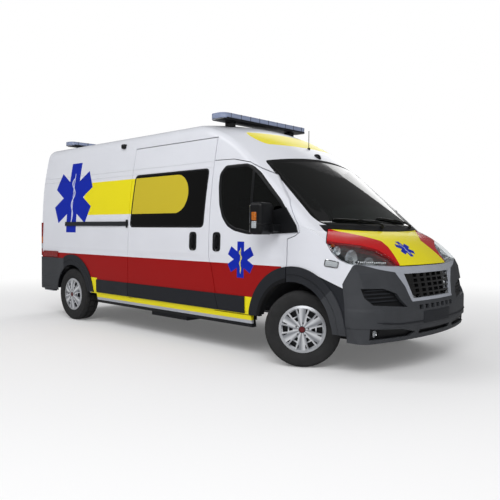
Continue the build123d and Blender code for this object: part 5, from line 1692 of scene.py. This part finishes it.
# %% The two seats
SEAT_Z = 0.8006
LEAN = Matrix.Rotation(math.radians(-10), 3, "Y")
STRAIGHT = Matrix.Identity(3)
for side, side_name in SIDES:
    y = side * 0.44
    cushion = pad("seat_cushion_" + side_name, (0.246, 0.231, 0.052), 0.030, STRAIGHT,
                  Vector((at_x(-0.82), y, SEAT_Z + 0.065)),
                  [(1, -0.150, 2), (1, 0.150, 2), (0, -0.02, 2), (0, 0.13, 2)],
                  [(-0.260, 0.260), (-0.245, 0.245), (-0.0645, 0.0645)])
    pad("seat_back_" + side_name, (0.041, 0.221, 0.286), 0.028, LEAN,
               Vector((at_x(-1.115), y, SEAT_Z + 0.420)) + LEAN @ Vector((0.0, 0.0, 0.012)),
               [(1, -0.140, 0), (1, 0.140, 0), (2, -0.08, 0), (2, 0.10, 0)],
               [(-0.054, 0.054), (-0.235, 0.235), (-0.296, 0.306)])
    pad("seat_head_" + side_name, (0.034, 0.112, 0.058), 0.026, STRAIGHT,
               Vector((at_x(-1.165), y, SEAT_Z + 0.785)), [(1, 0.0, 0)],
               [(-0.045, 0.045), (-0.125, 0.125), (-0.068, 0.070)])
    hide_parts("seats")
    posts = []
    for shift in (-0.055, 0.055):
        posts.append(tube("post", [(at_x(-1.168), y + shift, SEAT_Z + 0.68),
                                   (at_x(-1.166), y + shift, SEAT_Z + 0.74)], 0.006, chrome, 10))
    buckle = (at_x(-0.98), y - side * 0.262, SEAT_Z + 0.05)
    posts.append(soft_block("buckle", Vector(buckle) - Vector((0.018, 0.010, 0.05)),
                            Vector(buckle) + Vector((0.018, 0.010, 0.045)), 0.006, black_plastic))
    joined("seat_fittings_" + side_name, posts, "body")

# %% [markdown]
# The cab shows through the screen, so it gets what a driver uses: a hood over the instruments, a
# middle panel with a screen and vents, and a gear lever on its console. Blocks with soft edges are
# enough here, because the tinted glass hides finer forms.

# %% Cab fittings
parts = [soft_block("hood", (at_x(-0.32), 0.27, 1.20), (at_x(-0.10), 0.61, 1.275), 0.025, trim_plastic),
         soft_block("dial", (at_x(-0.328), 0.30, 1.205), (at_x(-0.31), 0.58, 1.262), 0.006, gloss_black),
         soft_block("panel", (at_x(-0.315), -0.14, 0.95), (at_x(-0.24), 0.14, 1.20), 0.018, trim_plastic),
         soft_block("screen", (at_x(-0.322), -0.10, 1.07), (at_x(-0.312), 0.10, 1.17), 0.004,
                    gloss_black), soft_block("console", (at_x(-0.34), -0.10, 0.86),
                                             (at_x(-0.22), 0.10, 0.97), 0.02, trim_plastic),
         tube("lever", [(at_x(-0.30), 0.03, 0.96), (at_x(-0.35), 0.03, 1.03)], 0.009, black_plastic, 10),
         turned("knob", [(0, 0.030), (0.016, 0.024), (0.022, 0.006), (0.016, -0.012), (0, -0.016)],
                (at_x(-0.355), 0.03, 1.04), (-0.3, 0, 1), black_plastic, 16)]
VENTS = (-0.72, -0.46, 0.20, 0.70)
for y in VENTS:
    for row in range(3):
        z = 1.125 + 0.018 * row
        parts.append(soft_block("vane", (at_x(-0.285 + 0.010 * row), y - 0.05, z),
                                (at_x(-0.235), y + 0.05, z + 0.006), 0.002, gloss_black))
joined("cab_fittings", parts, "body")

# %% [markdown]
# An open door shows its inside. Each gets a moulded panel that follows the door's inner face; on
# the cab doors it carries an armrest, a pull and a pocket.

# %% Inside the cab doors
def inner_caster(side, name):
    """From the cab on to the inner face of its door, at a length from the axle and a height."""
    return caster([name], lambda u, v: (at_x(u), 0.0, v), (0, side, 0), 0.9)


ARM_REST = ((-0.96, 0.008), (-0.90, 0.034), (-0.70, 0.036), (-0.50, 0.034), (-0.44, 0.008))
for side, side_name in SIDES:
    door = "front_door_" + side_name
    cast = inner_caster(side, door)
    panel = rounded_outline([(-1.04, 0.60), (-0.68, 0.60), (-0.42, 0.84), (-0.20, 0.92), (-0.20, 1.16),
                             (-1.04, 1.16)], 0.05, spacing=0.04)
    parts = [plate("panel", panel, 0.010, cast, cabin_grey, soft=0.008),
             plate("pocket", rounded_outline([(-1.00, 0.64), (-0.72, 0.64), (-0.60, 0.78), (-1.00, 0.78)],
                                             0.03, spacing=0.03), 0.028, cast, trim_plastic, soft=0.010)]
    row = [above(cast, u, 0.965, lift) for u, lift in ARM_REST]
    parts.append(tube("rest", row, [0.016, 0.022, 0.024, 0.022, 0.016], trim_plastic, 12))
    hit, normal = cast(-0.38, 1.06)
    parts.append(soft_block("pull", hit + Vector((-0.045, min(0, -side * 0.022), -0.012)),
                            hit + Vector((0.045, max(0, -side * 0.022), 0.012)), 0.005, chrome))
    joined("door_panel_" + side_name, parts, door)


# %% [markdown]
# The rear doors get two flat panels, a seal around the window and a pull. They show only when a
# door stands open, so they stay plain.

# %% Inside the rear doors
def rear_inner(name):
    """From the load space on to the inner face of a rear door, at a width and a height."""
    return caster([name], lambda u, v: (-1.6, u, v), (-1, 0, 0), 1.25)


REAR_PANELS = ((0.66, 1.22), (2.02, 2.16))
for side, side_name in SIDES:
    door = "rear_door_" + side_name
    cast = rear_inner(door)
    parts = []
    for low, high in REAR_PANELS:
        panel = rounded_box(side * 0.12, low, side * 0.66, high, 0.03, 0.06)
        parts.append(plate("panel", panel, 0.008, cast, cabin_grey, soft=0.006))
    frame_line = rounded_outline([(side * y, z) for y, z in REAR_WINDOW], 0.045)
    parts.append(bead("seal", frame_line, (-0.022, -0.020, -0.004, -0.001),
                      (-0.001, 0.006, 0.006, -0.001), cast, black_plastic))
    hit, normal = cast(side * 0.16, 1.06)
    parts.append(soft_block("pull", hit + Vector((-0.002, -0.014, -0.06)),
                            hit + Vector((0.022, 0.014, 0.06)), 0.005, black_plastic))
    joined("rear_door_panel_" + side_name, parts, door)

# %% [markdown]
# The rear doors turn on barrels at the corners, the step has ribs to stand on, a red lamp sits
# high above the doors, and a stop closes the sliding door's rail. All are plain turned shapes,
# blocks and plates.

# %% Rear details
HINGE_HEIGHTS = (0.70, 1.45, 2.15)
for side, side_name in SIDES:
    parts = []
    for z in HINGE_HEIGHTS:
        parts.append(turned("barrel", [(0, 0.045), (0.006, 0.044), (0.007, 0.040), (0.007, -0.040),
                                       (0.006, -0.044), (0, -0.045)], (-2.925, side * 0.81, z), (0, 0, 1),
                            black_plastic, 14))
    joined("rear_hinges_" + side_name, parts, "body")

parts = []
for row in range(4):
    x = -2.993 + 0.018 * row
    parts.append(soft_block("rib", (x, -0.80, 0.538), (x + 0.008, 0.80, 0.5435), 0.0015, trim_plastic))
joined("step_ribs", parts, "body")

tail = rear_caster("roof")
outline = rounded_box(-0.13, 2.375, 0.13, 2.405, 0.012, 0.03)
joined("high_brake_lamp", [plate("lamp", outline, 0.010, tail, red_lens)], "body")

side_cast = side_caster(-1, "side_panel_right")
foot, head = side_cast(-2.705, 1.30)[0], side_cast(-2.705, 1.40)[0]
stop = soft_block("stop", foot + Vector((-0.02, -0.012, 0.0)), head + Vector((0.008, 0.006, 0.0)), 0.004,
                  black_plastic)
joined("rail_stop", [stop], "body")
